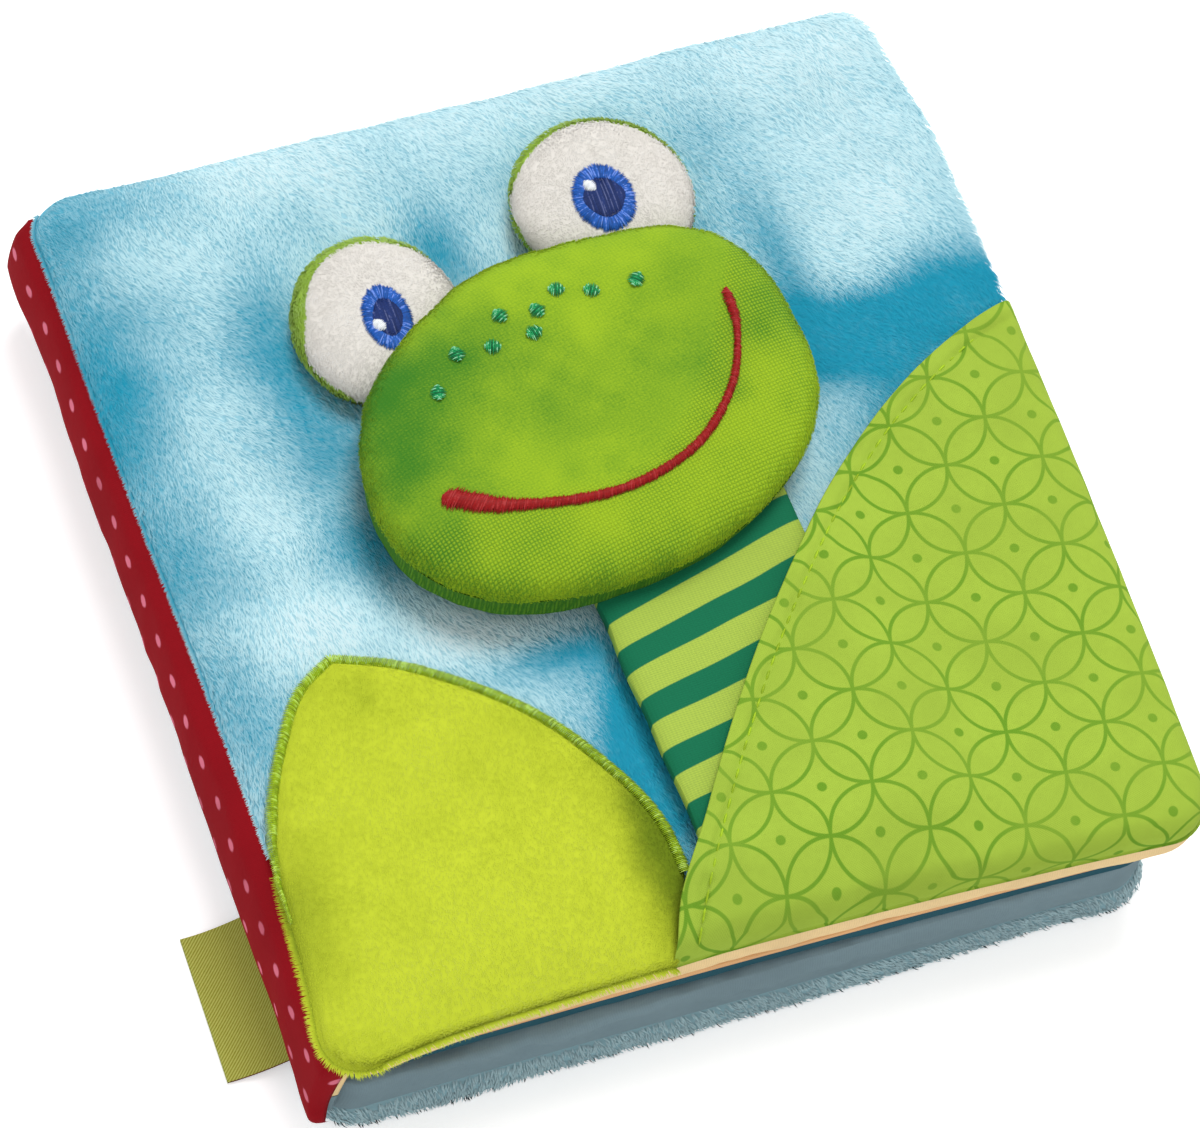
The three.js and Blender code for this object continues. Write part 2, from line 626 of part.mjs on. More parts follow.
function makeHead(neck) {
  const line = smoothLine(MOUTH, 24);
  const width = (share) => {
    const place = share * (MOUTH_WIDTHS.length - 1);
    const index = Math.min(Math.floor(place), MOUTH_WIDTHS.length - 2);
    return THREE.MathUtils.lerp(MOUTH_WIDTHS[index], MOUTH_WIDTHS[index + 1], place - index);
  };
  const freckles = FRECKLES.map((place, index) => {
    const outline = pairs(ovalOutline(place, FRECKLE_WIDTH, FRECKLE_WIDTH, 10)(0));
    return piece(`freckle_${index + 1}`, patchOn(head, outline, GAP, THREAD), "emeraldThread");
  });
  return group([FRONT_SLIP, 0, 0],
    neck,
    piece("head_front", skin(head, head.upper, VELOUR), "frogVelour"),
    piece("head_back", skin(head, head.lower, VELOUR), "darkVelour"),
    piece("head_stuffing", filling(head, VELOUR, VELOUR), "wadding"),
    piece("mouth_embroidery", patchOn(head, bandOutline(line, width), GAP, THREAD), "redThread"),
    ...freckles,
    ...Object.entries(EYES).flatMap(([side, eye]) => makeEye(side, eye)));
}

const puppet = makePuppetBody();
const book = group([0, 0, 0],
  makeBackCover(),
  makeSpine(),
  makeLeaf(),
  makeFrontCover(),
  puppet.body,
  makeHead(puppet.neck));

export default book;
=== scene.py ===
"""A cloth book for a baby, dressed around its frame: plush covers, padded leaf, spine, pocket and frog."""
import math

import bpy
import numpy as np
from bpy.props import FloatProperty, FloatVectorProperty, PointerProperty
from mathutils import Matrix, Vector


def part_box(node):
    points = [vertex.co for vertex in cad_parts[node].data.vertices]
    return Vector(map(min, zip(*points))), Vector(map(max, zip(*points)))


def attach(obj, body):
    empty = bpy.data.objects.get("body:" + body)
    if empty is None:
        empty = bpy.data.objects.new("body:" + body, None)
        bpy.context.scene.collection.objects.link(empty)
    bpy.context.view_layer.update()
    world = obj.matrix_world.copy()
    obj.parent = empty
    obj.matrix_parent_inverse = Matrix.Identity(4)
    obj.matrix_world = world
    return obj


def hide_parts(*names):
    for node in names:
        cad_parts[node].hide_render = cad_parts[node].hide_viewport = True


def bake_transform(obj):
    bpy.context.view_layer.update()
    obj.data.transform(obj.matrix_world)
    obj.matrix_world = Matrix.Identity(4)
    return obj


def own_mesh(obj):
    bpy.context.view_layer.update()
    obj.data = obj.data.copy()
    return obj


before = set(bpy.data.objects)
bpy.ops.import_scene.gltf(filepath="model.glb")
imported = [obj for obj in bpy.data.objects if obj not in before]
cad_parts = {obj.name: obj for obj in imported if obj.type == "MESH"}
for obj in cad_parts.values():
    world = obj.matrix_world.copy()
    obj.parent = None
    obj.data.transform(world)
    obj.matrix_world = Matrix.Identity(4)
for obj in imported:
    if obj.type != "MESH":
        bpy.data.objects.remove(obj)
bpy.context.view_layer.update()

bl_info = {
    "name": "Cloth Book",
    "version": (1, 0, 0),
    "blender": (4, 5, 0),
    "location": "View3D > Sidebar > Cloth Book",
    "description": "Makes a padded cloth book with a stuffed frog in its pocket",
    "category": "Add Mesh",
}

MM = 0.001

# Outlines of the pages, as the frame has them
CORNER = 7 * MM
BACK_SIZE = (144, 160)
LEAF_SIZE = (142, 157)
FRONT_SIZE = (148, 160)
LEAF_SHIFT = 0.5
FRONT_SHIFT = 3.5
# How far the middle of each side bows out: right, top, left, bottom
BOWS = (-0.8, -0.8, -0.8, -0.8)
FRONT_BOWS = (1.4, 1, -0.8, -2.2)
# The front cover leans out over the spine toward its upper end, and its corners are drawn out:
# side across, side along, how far out across and along, and the reach
HINGE_LEAN = 3.3
FRONT_PULLS = ((-1, 1, 0.6, 0.8, 11), (-1, -1, 1.2, 1.6, 11), (1, 1, -0.8, 1.6, 14), (0.65, 1, 0, 1.6, 22),
               (1, 0.9, -1.6, 0, 9))
BACK_PULLS = ((1, -1, 0, -2.0, 38),)
BOWED_RIM = 22 * MM
EDGE_BAND = 9 * MM
EDGE_STEPS = 16
WALL_RUN = 3.6 * MM
ROLL_RUN = 7 * MM
PLUSH_SINK = 0.9 * MM
PLUSH_ROLL = 1.0 * MM
PLUSH_STEP = 1.5 * MM

# The page frame's origin is the front cover's centre. What is sewn there is drawn in millimetres.
LEAF_APEX = [-55.3, -15]
LEAF_LEFT = [[-62, -19.5], [-67, -27], [-71, -35], [-73.4, -42.5]]
LEAF_RIGHT = [[-45.8, -18.6], [-37.8, -23.5], [-29.8, -29.8], [-23.6, -36.4], [-18.6, -44],
              [-14.9, -51], [-12.8, -58], [-12.2, -66]]
# Places where a pile is drawn paler or deeper. Part of this is nap brushing; part is painted shadow of the
# frog, painted shade where a face turns from the lamp, and painted light: centre, reach across and up, and
# how much paler it looks
BRUSHED_AND_SHADED = [[0, 80, 80, 10, 0.25], [54, 72, 18, 14, 0.25], [-66, 70, 16, 14, -0.15], [-57, 14, 8, 14, 0.2],
           [-50, -8, 18, 8, 0.25], [-30, -17, 14, 6, 0.3], [66, 50, 14, 16, 0.15], [-75, 38, 10, 40, -0.35],
           [-47, 44, 7, 16, -0.25], [46, 21, 20, 8, -0.8], [70, 24, 12, 9, -0.5], [-46, 4, 7, 16, -0.15],
           [-31, -15, 12, 5, 0.25], [-10, -43, 6, 14, -0.9], [-18, -22, 16, 4, -0.3],
           [-41, 0, 6, 12, -0.15], [-54, -5, 9, 9, 0.2], [50, 5, 6, 12, -0.3], [40, 36, 5, 14, -0.35],
           [-14, 54, 6, 8, -0.4]]
BRUSHED_AND_SHADED_HEAD = [[-38, 9, 14, 22, -0.18], [-27, 24, 12, 8, -0.3], [34, 24, 8, 14, -0.2],
                [-33, 14, 8, 8, -0.1], [-30, -5, 9, 9, -0.12], [-6, -10, 30, 6, 0.12],
                [-12, 14, 16, 6, -0.1], [14, 38, 16, 5, 0.08]]
BRUSHED_AND_SHADED_LIME = [[-14, -60, 6, 20, -0.6], [-76, -58, 9, 18, -0.28], [-40, -76, 34, 9, 0.12],
                [-52, -24, 6, 6, -0.1]]
# The least paleness of the cover's pile
DEEPEST = 0.1
POCKET_MOUTH = [[-19.4, -82], [-12.2, -67.7], [2, -45.7], [17, -26], [38, -3], [58, 11.5], [76.5, 20.6]]
BODY_WIDTH = 38
BODY_CENTRE = [7.2, -14]
BODY_LEAN = math.radians(3.4)
BODY_LOWER_END = 56
NECK_LENGTH = 12
HEAD_CENTRE = [-2.5, 14]
HEAD_OUTLINE = [[-42.1, 7.5], [-39.2, -6], [-29, -15.3], [-13.5, -18.5], [4.5, -17], [18, -12],
                [29.5, -3], [35.8, 9.5], [35.4, 24.5], [30.6, 36.6], [20.4, 42.6], [3, 43.6],
                [-13, 41.8], [-27, 34], [-38, 22.5]]
# Where the spine is sewn to the back cover and to the front cover
SPINE_FOOT = -72.3
SPINE_HEAD = -70.8
# The spine's lower end turns in between the covers: how far across at its foot and at its head, and how
# far down. Its lining shows beyond it as a hem.
TUCK_FOOT = 1.7 * MM
TUCK_HEAD = 3.4 * MM
TUCK_DEPTH = 1.3 * MM
TUCK_ROWS = 7
SPINE_THICKNESS = 0.8 * MM
HEM_WIDTH = 2.4 * MM
HEM_DEPTH = 0.7 * MM
HEM_ROWS = 5
HEAD_FLATTENED = 2.6 * MM
CHIN_SLOPE = math.radians(13)
VELOUR_CELL = 0.6 * MM
KNIT_PITCH = 0.6 * MM
TWILL_PITCH = 0.62 * MM
RING_TILT = math.radians(9)
# How high the frog's body tents the pocket
HUMP = 5 * MM
# The smile is lowest and turns up from here, in the frame
SMILE_TURN = 2.5 * MM
SMILE_DEPTH = 4.6 * MM
SMILE_RISE = 32
STRIPE_TILT = math.radians(12.4)
STRIPE_LEVELLING = 2.5
STRIPE_START = 3.9 * MM
EYES = {
    "left": {"centre": [-29.2, 40.4], "radius": 14, "tall": 1.12,
             "pupil": [-28.8, 38.6], "size": [8.4, 12.6], "glint": [-30.6, 37.4]},
    "right": {"centre": [14, 53], "radius": 15.4, "tall": 1,
              "pupil": [13.1, 51], "size": [10.8, 13.2], "glint": [11.4, 53.6]},
}
PUPIL_RING = 2.0
# How many painted highlights each thread shows, as near-white specks
PAINTED_GLINTS = {"red_thread": 0.1, "emerald": 1.0, "blue": 0.6, "dark_blue": 0.35, "white_thread": 0.0}
# How far the green back shows beyond the white front, and toward which side of the eye
EYE_RIM_SIDE = {"left": (1.5, -1.5), "right": (-0.5, -1.2)}
EYE_RIM_ROLL = {"left": (-0.42, 0.91, 2.0), "right": (0.05, 1.0, 1.3)}
GLINT_SIZE = 2.4
MOUTH = [[-32.2, 1.2], [-22, -3.2], [-5, -5.1], [10, -0.9], [19.6, 8.1], [24.2, 18.2], [24.9, 25.8]]
MOUTH_WIDTHS = [4, 3.8, 3.2, 2.4, 2, 2, 1.9, 1.9, 1.8, 1.8, 1.7, 1.7, 1.6, 1.6, 1.5, 1.4, 1.3, 1.3, 1.8, 2]
SMILE_PITCH = 0.17 * MM
SMILE_SLANT = 0.3
SMILE_RAGGED = 0.2
SMILE_ROUNDING = 1.8 * MM
FRECKLE_WIDTH = 3.0
FRECKLE_PITCH = 0.26 * MM
FRECKLES = [[-27, 19.4], [-21.8, 25.6], [-15.7, 25.4], [-12.7, 30.6], [-8.4, 26], [-6.6, 29.8],
            [-2.3, 32.8], [3.2, 31], [11, 31]]

# The photograph's camera: a long lens over the lower left corner
LENS = 180
SENSOR = 36
CAMERA_ELEVATION = math.radians(61.62)
CAMERA_AZIMUTH = math.radians(30.98)
CAMERA_ROLL = math.radians(13.7)
CAMERA_DISTANCE = 1.00768
CAMERA_AIM = (4.33 * MM, 3.84 * MM, 2.0 * MM)


def linear(code):
    """A colour written as six hexadecimal digits, as Blender's linear red, green and blue."""
    shares = [int(code[i:i + 2], 16) / 255 for i in (0, 2, 4)]
    return tuple(s / 12.92 if s <= 0.04045 else ((s + 0.055) / 1.055) ** 2.4 for s in shares)


def colour_of(name, code, description):
    """A colour that the sidebar shows."""
    return FloatVectorProperty(name=name, description=description, default=linear(code),
                               size=3, min=0, max=1, subtype="COLOR")


def length_of(name, millimetres, description):
    """A length that the sidebar shows."""
    return FloatProperty(name=name, description=description, default=millimetres * MM,
                         min=0, precision=5, unit="LENGTH")


class ClothBookColours(bpy.types.PropertyGroup):
    """Colours of the book's cloths and threads."""
    sky: colour_of("Sky plush", "CBEEF5", "Pile of both covers")
    # The roots' deep cyan also paints the covers' shade: painted shade among the fibres and painted shadow
    # where the pile is drawn deep.
    sky_root: colour_of("Sky plush roots", "1F9CBA", "Where the pile of the covers parts")
    # The lining's pale blue is drawn darker than the cloth: painted shade of the wall under the overhanging
    # front cover.
    pale_blue: colour_of("Pale blue cotton", "7A9098", "Lining of the back cover")
    peach: colour_of("Peach cotton", "F6D7A0", "Lining of the front cover")
    teal: colour_of("Teal cotton", "2A5562", "Back face of the leaf")
    red: colour_of("Red cotton", "920D19", "Spine")
    dots: colour_of("Pink dots", "EC8098", "Dots on the spine")
    twill: colour_of("Tag twill", "AEB02E", "Woven tag")
    lime: colour_of("Lime plush", "C8D636", "Leaf patch")
    leaf_thread: colour_of("Leaf thread", "A0C01E", "Satin border of the leaf patch")
    print_ground: colour_of("Printed ground", "A0BC42", "Pocket cotton")
    print_line: colour_of("Printed line", "5C9020", "Line pattern on the pocket")
    plain_green: colour_of("Plain green cotton", "B4CE62", "Inside of the pocket")
    stripe_dark: colour_of("Dark stripe", "006E4A", "Stripes of the frog's body")
    stripe_light: colour_of("Light stripe", "ACC44A", "Ground of the frog's body")
    velour: colour_of("Frog velour", "9EBE22", "Front of the frog's head")
    velour_back: colour_of("Dark velour", "387A1E", "Back of the frog's head")
    white_plush: colour_of("White plush", "E1DDD6", "Front of the eyes")
    leaf_plush: colour_of("Leaf green plush", "9CC04A", "Back of the eyes")
    dark_blue: colour_of("Dark blue thread", "17306F", "Core of the pupils")
    blue: colour_of("Blue thread", "1A5CB8", "Ring of the pupils")
    white_thread: colour_of("White thread", "F6F9FC", "Glint of the pupils")
    red_thread: colour_of("Red thread", "9C0C0E", "Smile")
    emerald: colour_of("Emerald thread", "129A58", "Freckles")
    floor: colour_of("Floor", "F2F2F2", "The floor that the book lies on")


class ClothBookSizes(bpy.types.PropertyGroup):
    """Sizes of the book's pile, threads and patterns."""
    pile: length_of("Cover pile", 2.3, "Length of the covers' pile")
    pile_width: length_of("Cover tuft", 0.25, "Width of a tuft of the covers' pile")
    short_pile: length_of("Short pile", 1.1, "Length of the pile of the eyes and the leaf patch")
    nap: length_of("Nap", 0.55, "Length of the velour's nap")
    weave: length_of("Weave", 0.42, "Pitch of the cottons' weave")
    dot_pitch: length_of("Dot pitch", 7.6, "Distance between the spine's dots")
    dot: length_of("Dot", 0.95, "Half width of the spine's dots")
    ring: length_of("Ring", 8.2, "Radius of the pocket's interlocking rings")
    print_line: length_of("Print line", 0.68, "Width of the pocket's printed line")
    stripe: length_of("Stripe", 9.95, "Distance from one stripe to the next")
    thread: length_of("Thread", 0.28, "Thickness of an embroidery thread")


def sizes():
    return bpy.context.scene.cloth_book_sizes


def colours():
    return bpy.context.scene.cloth_book_colours


def paint(name):
    """One of the sidebar's colours."""
    return tuple(getattr(colours(), name))


# Numbers over a surface

def lumps(u, v, seed):
    """Smooth random heights from -1 to 1, with about one lump to each unit of u and v."""
    count = 64
    table = np.random.default_rng(seed).uniform(-1, 1, (count, count))
    i, j = np.floor(u).astype(int), np.floor(v).astype(int)
    fu, fv = u - i, v - j
    fu, fv = fu * fu * (3 - 2 * fu), fv * fv * (3 - 2 * fv)

    def corner(di, dj):
        return table[(i + di) % count, (j + dj) % count]

    near = corner(0, 0) * (1 - fu) + corner(1, 0) * fu
    far = corner(0, 1) * (1 - fu) + corner(1, 1) * fu
    return near * (1 - fv) + far * fv


def dents(x, y, size, seed):
    """Smooth random heights from -1 to 1, in lumps of so many millimetres."""
    return lumps(x / (size * MM), y / (size * MM), seed)


def unit(ways):
    """Vectors along the last axis, made of length 1."""
    return ways / np.maximum(np.linalg.norm(ways, axis=-1, keepdims=True), 1e-12)


def length_along(line):
    return np.linalg.norm(np.diff(line, axis=0), axis=1).sum()


def dome(inset, width, fullness):
    """The height share of a padded edge, from 0 at the seam to 1 at a width in from it."""
    return np.sqrt(1 - (1 - np.clip(inset / width, 0, 1)) ** fullness)


def smooth(low, high, value):
    """From 0 at low to 1 at high, without a corner."""
    t = np.clip((value - low) / (high - low), 0, 1)
    return t * t * (3 - 2 * t)


def turned(x, y, angle):
    return x * math.cos(angle) - y * math.sin(angle), x * math.sin(angle) + y * math.cos(angle)


def curve_through(points, count, closed=False):
    """Evenly spaced places on a Catmull-Rom curve through a few points, in metres."""
    through = np.array(points, float) * MM
    last = len(through) - 1
    if closed:
        padded = np.vstack([through[-1], through, through[:2]])
        spans = last + 1
    else:
        padded = np.vstack([2 * through[0] - through[1], through, 2 * through[-1] - through[-2]])
        spans = last
    t = np.linspace(0, spans, spans * 24 + 1)
    i = np.minimum(t.astype(int), spans - 1)
    f = (t - i)[:, None]
    a, b, c, d = (padded[i + k] for k in range(4))
    bend, twist = 2 * a - 5 * b + 4 * c - d, 3 * b - a - 3 * c + d
    line = 0.5 * (2 * b + (c - a) * f + bend * f ** 2 + twist * f ** 3)
    return respaced(line, count, closed)


def respaced(line, count, closed=False):
    """A polyline with evenly spaced points."""
    run = np.concatenate([[0], np.cumsum(np.linalg.norm(np.diff(line, axis=0), axis=1))])
    places = np.linspace(0, run[-1], count, endpoint=not closed)
    return np.stack([np.interp(places, run, line[:, k]) for k in range(line.shape[1])], axis=1)


# Meshes

def quads(rows, columns, start=0, closed=False):
    """Faces of a sheet of points in rows and columns."""
    wide = columns if closed else columns - 1
    i, j = np.meshgrid(np.arange(rows - 1), np.arange(wide), indexing="ij")
    k = (j + 1) % columns
    corners = [i * columns + j, i * columns + k, (i + 1) * columns + k, (i + 1) * columns + j]
    return np.stack([c.ravel() for c in corners], axis=1) + start


def normals_of(points, faces):
    """A unit normal at each point of a mesh."""
    corner = points[faces]
    across = np.cross(corner[:, 2] - corner[:, 0], corner[:, -1] - corner[:, 1])
    made = np.zeros_like(points)
    for k in range(faces.shape[1]):
        np.add.at(made, faces[:, k], across)
    return unit(made)


def new_object(name, points, faces, finish, cloth=None, shade=None, cap=()):
    """A mesh object from arrays. Cloth is where each point lies on the flat cloth, shade is how pale it is,
    and cap is triangles that close the mesh."""
    mesh = bpy.data.meshes.new(name)
    sides = np.repeat([faces.shape[1], 3], [len(faces), len(cap)])
    corners = np.concatenate([faces.ravel(), np.ravel(cap)])
    mesh.vertices.add(len(points))
    mesh.vertices.foreach_set("co", points.astype(np.float32).ravel())
    mesh.loops.add(len(corners))
    mesh.loops.foreach_set("vertex_index", corners.astype(np.int32))
    mesh.polygons.add(len(sides))
    mesh.polygons.foreach_set("loop_start", (np.cumsum(sides) - sides).astype(np.int32))
    mesh.update(calc_edges=True)
    mesh.shade_smooth()
    if cloth is not None:
        flat = np.zeros((len(points), 3), np.float32)
        flat[:, :2] = cloth
        mesh.attributes.new("cloth", "FLOAT_VECTOR", "POINT").data.foreach_set("vector", flat.ravel())
    if shade is not None:
        values = shade.astype(np.float32)
        mesh.attributes.new("shade", "FLOAT", "POINT").data.foreach_set("value", values)
    mesh.materials.append(finish)
    made = bpy.data.objects.new(name, mesh)
    bpy.context.scene.collection.objects.link(made)
    return made


def lit_edge(normal, inset, amount):
    """Normals turned up near a seam, as pile that lies over an edge shades."""
    return unit(normal + np.array([0, 0, 1.0]) * (amount * smooth(5 * MM, 0, inset))[:, None])


def arc_places(points):
    """Where each point of a sheet in rows and columns lies on the flat cloth."""
    along = np.linalg.norm(np.diff(points, axis=0), axis=2)
    across = np.linalg.norm(np.diff(points, axis=1), axis=2)
    u = np.concatenate([np.zeros((1, points.shape[1])), np.cumsum(along, axis=0)])
    v = np.concatenate([np.zeros((points.shape[0], 1)), np.cumsum(across, axis=1)], axis=1)
    return np.stack([u, v], axis=2).reshape(-1, 2)


def dress(made, body, nodes=()):
    """Rides a piece on a body, and hides the frame's nodes that it stands for."""
    if isinstance(body, tuple):
        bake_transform(made)
    else:
        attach(made, body)
    if nodes:
        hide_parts(*nodes)
    return made


# Pile and thread

# The most tufts in one piece, and how many stand on a square millimetre
MOST_TUFTS = 21000
COVER_TUFTS = 6.5
UNDERSIDE_TUFTS = 4.5
LEAF_TUFTS = 11
SHORT_TUFTS = 10
# The pile under the book beside the pile over it
UNDERSIDE_LENGTH = 0.62
UNDERSIDE_WIDTH = 1.2
COVER_LIFT = 0.3
TUFT_ROUNDNESS = 0.5
# How much deeper a tuft is drawn at its root and paler at its tip: painted shade among the fibres
SHADE_ALONG_TUFT = 0.45
STROKE_STEPS = 5
STROKE_SIDES = 5


def scattered(points, faces, each_mm2, rng):
    """Random places on a mesh of quads with their normals, so many to a square millimetre."""
    normals = normals_of(points, faces)
    triangles = np.vstack([faces[:, [0, 1, 2]], faces[:, [0, 2, 3]]])
    corner = points[triangles]
    area = np.linalg.norm(np.cross(corner[:, 1] - corner[:, 0], corner[:, 2] - corner[:, 0]), axis=1) / 2
    count = int(area.sum() / MM ** 2 * each_mm2)
    chosen = rng.choice(len(triangles), count, p=area / area.sum())
    a, b = rng.random(count), rng.random(count)
    a, b = np.where(a + b > 1, 1 - a, a), np.where(a + b > 1, 1 - b, b)
    shares = np.stack([1 - a - b, a, b], axis=1)[:, :, None]
    place = (corner[chosen] * shares).sum(axis=1)
    normal = (normals[triangles[chosen]] * shares).sum(axis=1)
    return place, unit(normal)


def tufts(place, normal, comb, length, width, lift, rng, roundness):
    """Three-sided bent spikes rooted in a surface and combed one way, with soft normals and the share of
    the way from root to tip."""
    count = len(place)
    comb = unit(comb - normal * (comb * normal).sum(axis=1)[:, None])
    side = np.cross(normal, comb)
    sway = rng.normal(0, 0.22, (count, 1))
    lean = unit(comb + side * sway)
    side = np.cross(normal, lean)
    long = length * rng.uniform(0.7, 1.15, (count, 1))
    wide = width * rng.uniform(0.7, 1.2, (count, 1))
    rise = np.clip(lift * rng.uniform(0.7, 1.3, (count, 1)), 0, 1)
    first = unit(normal * rise + lean * (1 - rise))
    second = unit(normal * rise * 0.4 + lean * (1 - rise * 0.4))
    middle = place + first * long * 0.5
    tip = middle + second * long * 0.5
    root = place - normal * width * 0.3
    ridge = normal * wide * 0.45
    points = np.stack([root - side * wide / 2, root + side * wide / 2, root + ridge,
                       middle - side * wide / 2.6, middle + side * wide / 2.6, middle + ridge, tip], axis=1)
    around = np.stack([-side, side, normal, -side, side, normal, lean], axis=1)
    soft = unit(normal[:, None] + around * roundness)
    face = np.array([[0, 1, 4], [0, 4, 3], [1, 2, 5], [1, 5, 4], [2, 0, 3], [2, 3, 5],
                     [3, 4, 6], [4, 5, 6], [5, 3, 6]])
    faces = (face[None] + 7 * np.arange(count)[:, None, None]).reshape(-1, 3)
    share = np.tile([0, 0, 0, 0.5, 0.5, 0.5, 1], (count, 1))
    return points.reshape(-1, 3), faces, share, soft.reshape(-1, 3)


def grow_pile(name, place, normal, comb, length, width, lift, finish, body, seed, light=None,
              roundness=TUFT_ROUNDNESS):
    """Tufts as pieces of at most so many faces, which ride on a body; light is each tuft's paleness.
    Light passes through such fine fibres, so they cast no shadow of their own."""
    rng = np.random.default_rng(seed)
    made = []
    if light is None:
        light = np.full(len(place), 0.5)
    for number, start in enumerate(range(0, len(place), MOST_TUFTS)):
        part = slice(start, start + MOST_TUFTS)
        points, faces, share, soft = tufts(place[part], normal[part], comb[part], length, width, lift, rng,
                                           roundness)
        # Each tuft is drawn deeper at its root than at its tip: painted shade among the fibres, which cast
        # no shadow.
        shade = light[part][:, None] * (1 + SHADE_ALONG_TUFT * (2 * share - 1))
        tuft = new_object(f"{name}_{number + 1}", points, faces, finish, shade=shade.ravel())
        tuft.data.normals_split_custom_set_from_vertices(soft.astype(np.float32))
        tuft.visible_shadow = False
        dress(tuft, body)
        made.append(tuft)
    return made


def strokes(starts, ends, surface, thickness, arch):
    """Short threads from point to point over a surface, sunk at their ends."""
    steps, sides = STROKE_STEPS, STROKE_SIDES
    share = np.linspace(0, 1, steps)[None, :, None]
    line = starts[:, None, :] * (1 - share) + ends[:, None, :] * share
    z = surface(line[..., 0], line[..., 1]) + arch * np.sin(np.pi * share[..., 0]) - thickness * 0.2
    centre = np.concatenate([line, z[..., None]], axis=2)
    way = unit(ends - starts)
    side = np.concatenate([-way[:, 1:], way[:, :1], np.zeros((len(way), 1))], axis=1)[:, None, None, :]
    angle = np.linspace(0, 2 * np.pi, sides, endpoint=False)[None, None, :, None]
    slim = np.sqrt(np.maximum(1 - (2 * share - 1) ** 4, 0.06))[:, :, None, :] * thickness / 2
    up = np.array([0, 0, 1.0])
    rings = centre[:, :, None, :] + slim * (side * np.cos(angle) + up * np.sin(angle))
    count = len(starts)
    face = quads(steps, sides, closed=True)
    faces = (face[None] + steps * sides * np.arange(count)[:, None, None]).reshape(-1, 4)
    return rings.reshape(-1, 3), faces


def sewn(name, starts, ends, surface, thickness, arch, finish, body, nodes=()):
    """Embroidery over a surface of the page frame, each stitch a little paler or deeper."""
    points, faces = strokes(starts, ends, surface, thickness, arch)
    points[:, 0] += FRONT_X
    rng = np.random.default_rng(len(starts))
    shade = rng.random((len(starts), 1)) * 0.5 + rng.random((len(starts), STROKE_STEPS)) * 0.5
    made = new_object(name, points, faces, finish, shade=np.repeat(shade.ravel(), STROKE_SIDES))
    return dress(made, body, nodes)


def band_strokes(line, widths, pitch, slant, rng, ragged=0.1, rounding=0.0):
    """Ends of satin stitches across a line, closer together than they are thick, with rounded ends."""
    run = length_along(line)
    count = int(run / pitch)
    fine = respaced(line, count)
    way = unit(np.gradient(fine, axis=0))
    side = np.stack([-way[:, 1], way[:, 0]], axis=1)
    wide = np.interp(np.linspace(0, 1, count), np.linspace(0, 1, len(widths)), widths)[:, None] / 2
    wide = wide * rng.uniform(1 - ragged, 1 + ragged, (count, 1))
    if rounding:
        from_end = np.minimum(np.linspace(0, run, count), np.linspace(run, 0, count))[:, None]
        wide = wide * np.sqrt(1 - (1 - np.clip(from_end / rounding + 0.03, 0, 1)) ** 2)
    lean = way * slant * wide
    return fine - side * wide - lean, fine + side * wide + lean


# Finishes

class Wire:
    """A node's output. Arithmetic on it adds Math nodes."""

    def __init__(self, finish, socket):
        self.finish = finish
        self.socket = socket

    def __add__(self, other):
        return self.finish.math("ADD", self, other)

    def __radd__(self, other):
        return self.finish.math("ADD", other, self)

    def __sub__(self, other):
        return self.finish.math("SUBTRACT", self, other)

    def __rsub__(self, other):
        return self.finish.math("SUBTRACT", other, self)

    def __mul__(self, other):
        return self.finish.math("MULTIPLY", self, other)

    def __rmul__(self, other):
        return self.finish.math("MULTIPLY", other, self)

    def __truediv__(self, other):
        return self.finish.math("DIVIDE", self, other)

    def __pow__(self, other):
        return self.finish.math("POWER", self, other)

    def __mod__(self, other):
        return self.finish.math("FLOORED_MODULO", self, other)

    def __abs__(self):
        return self.finish.math("ABSOLUTE", self)


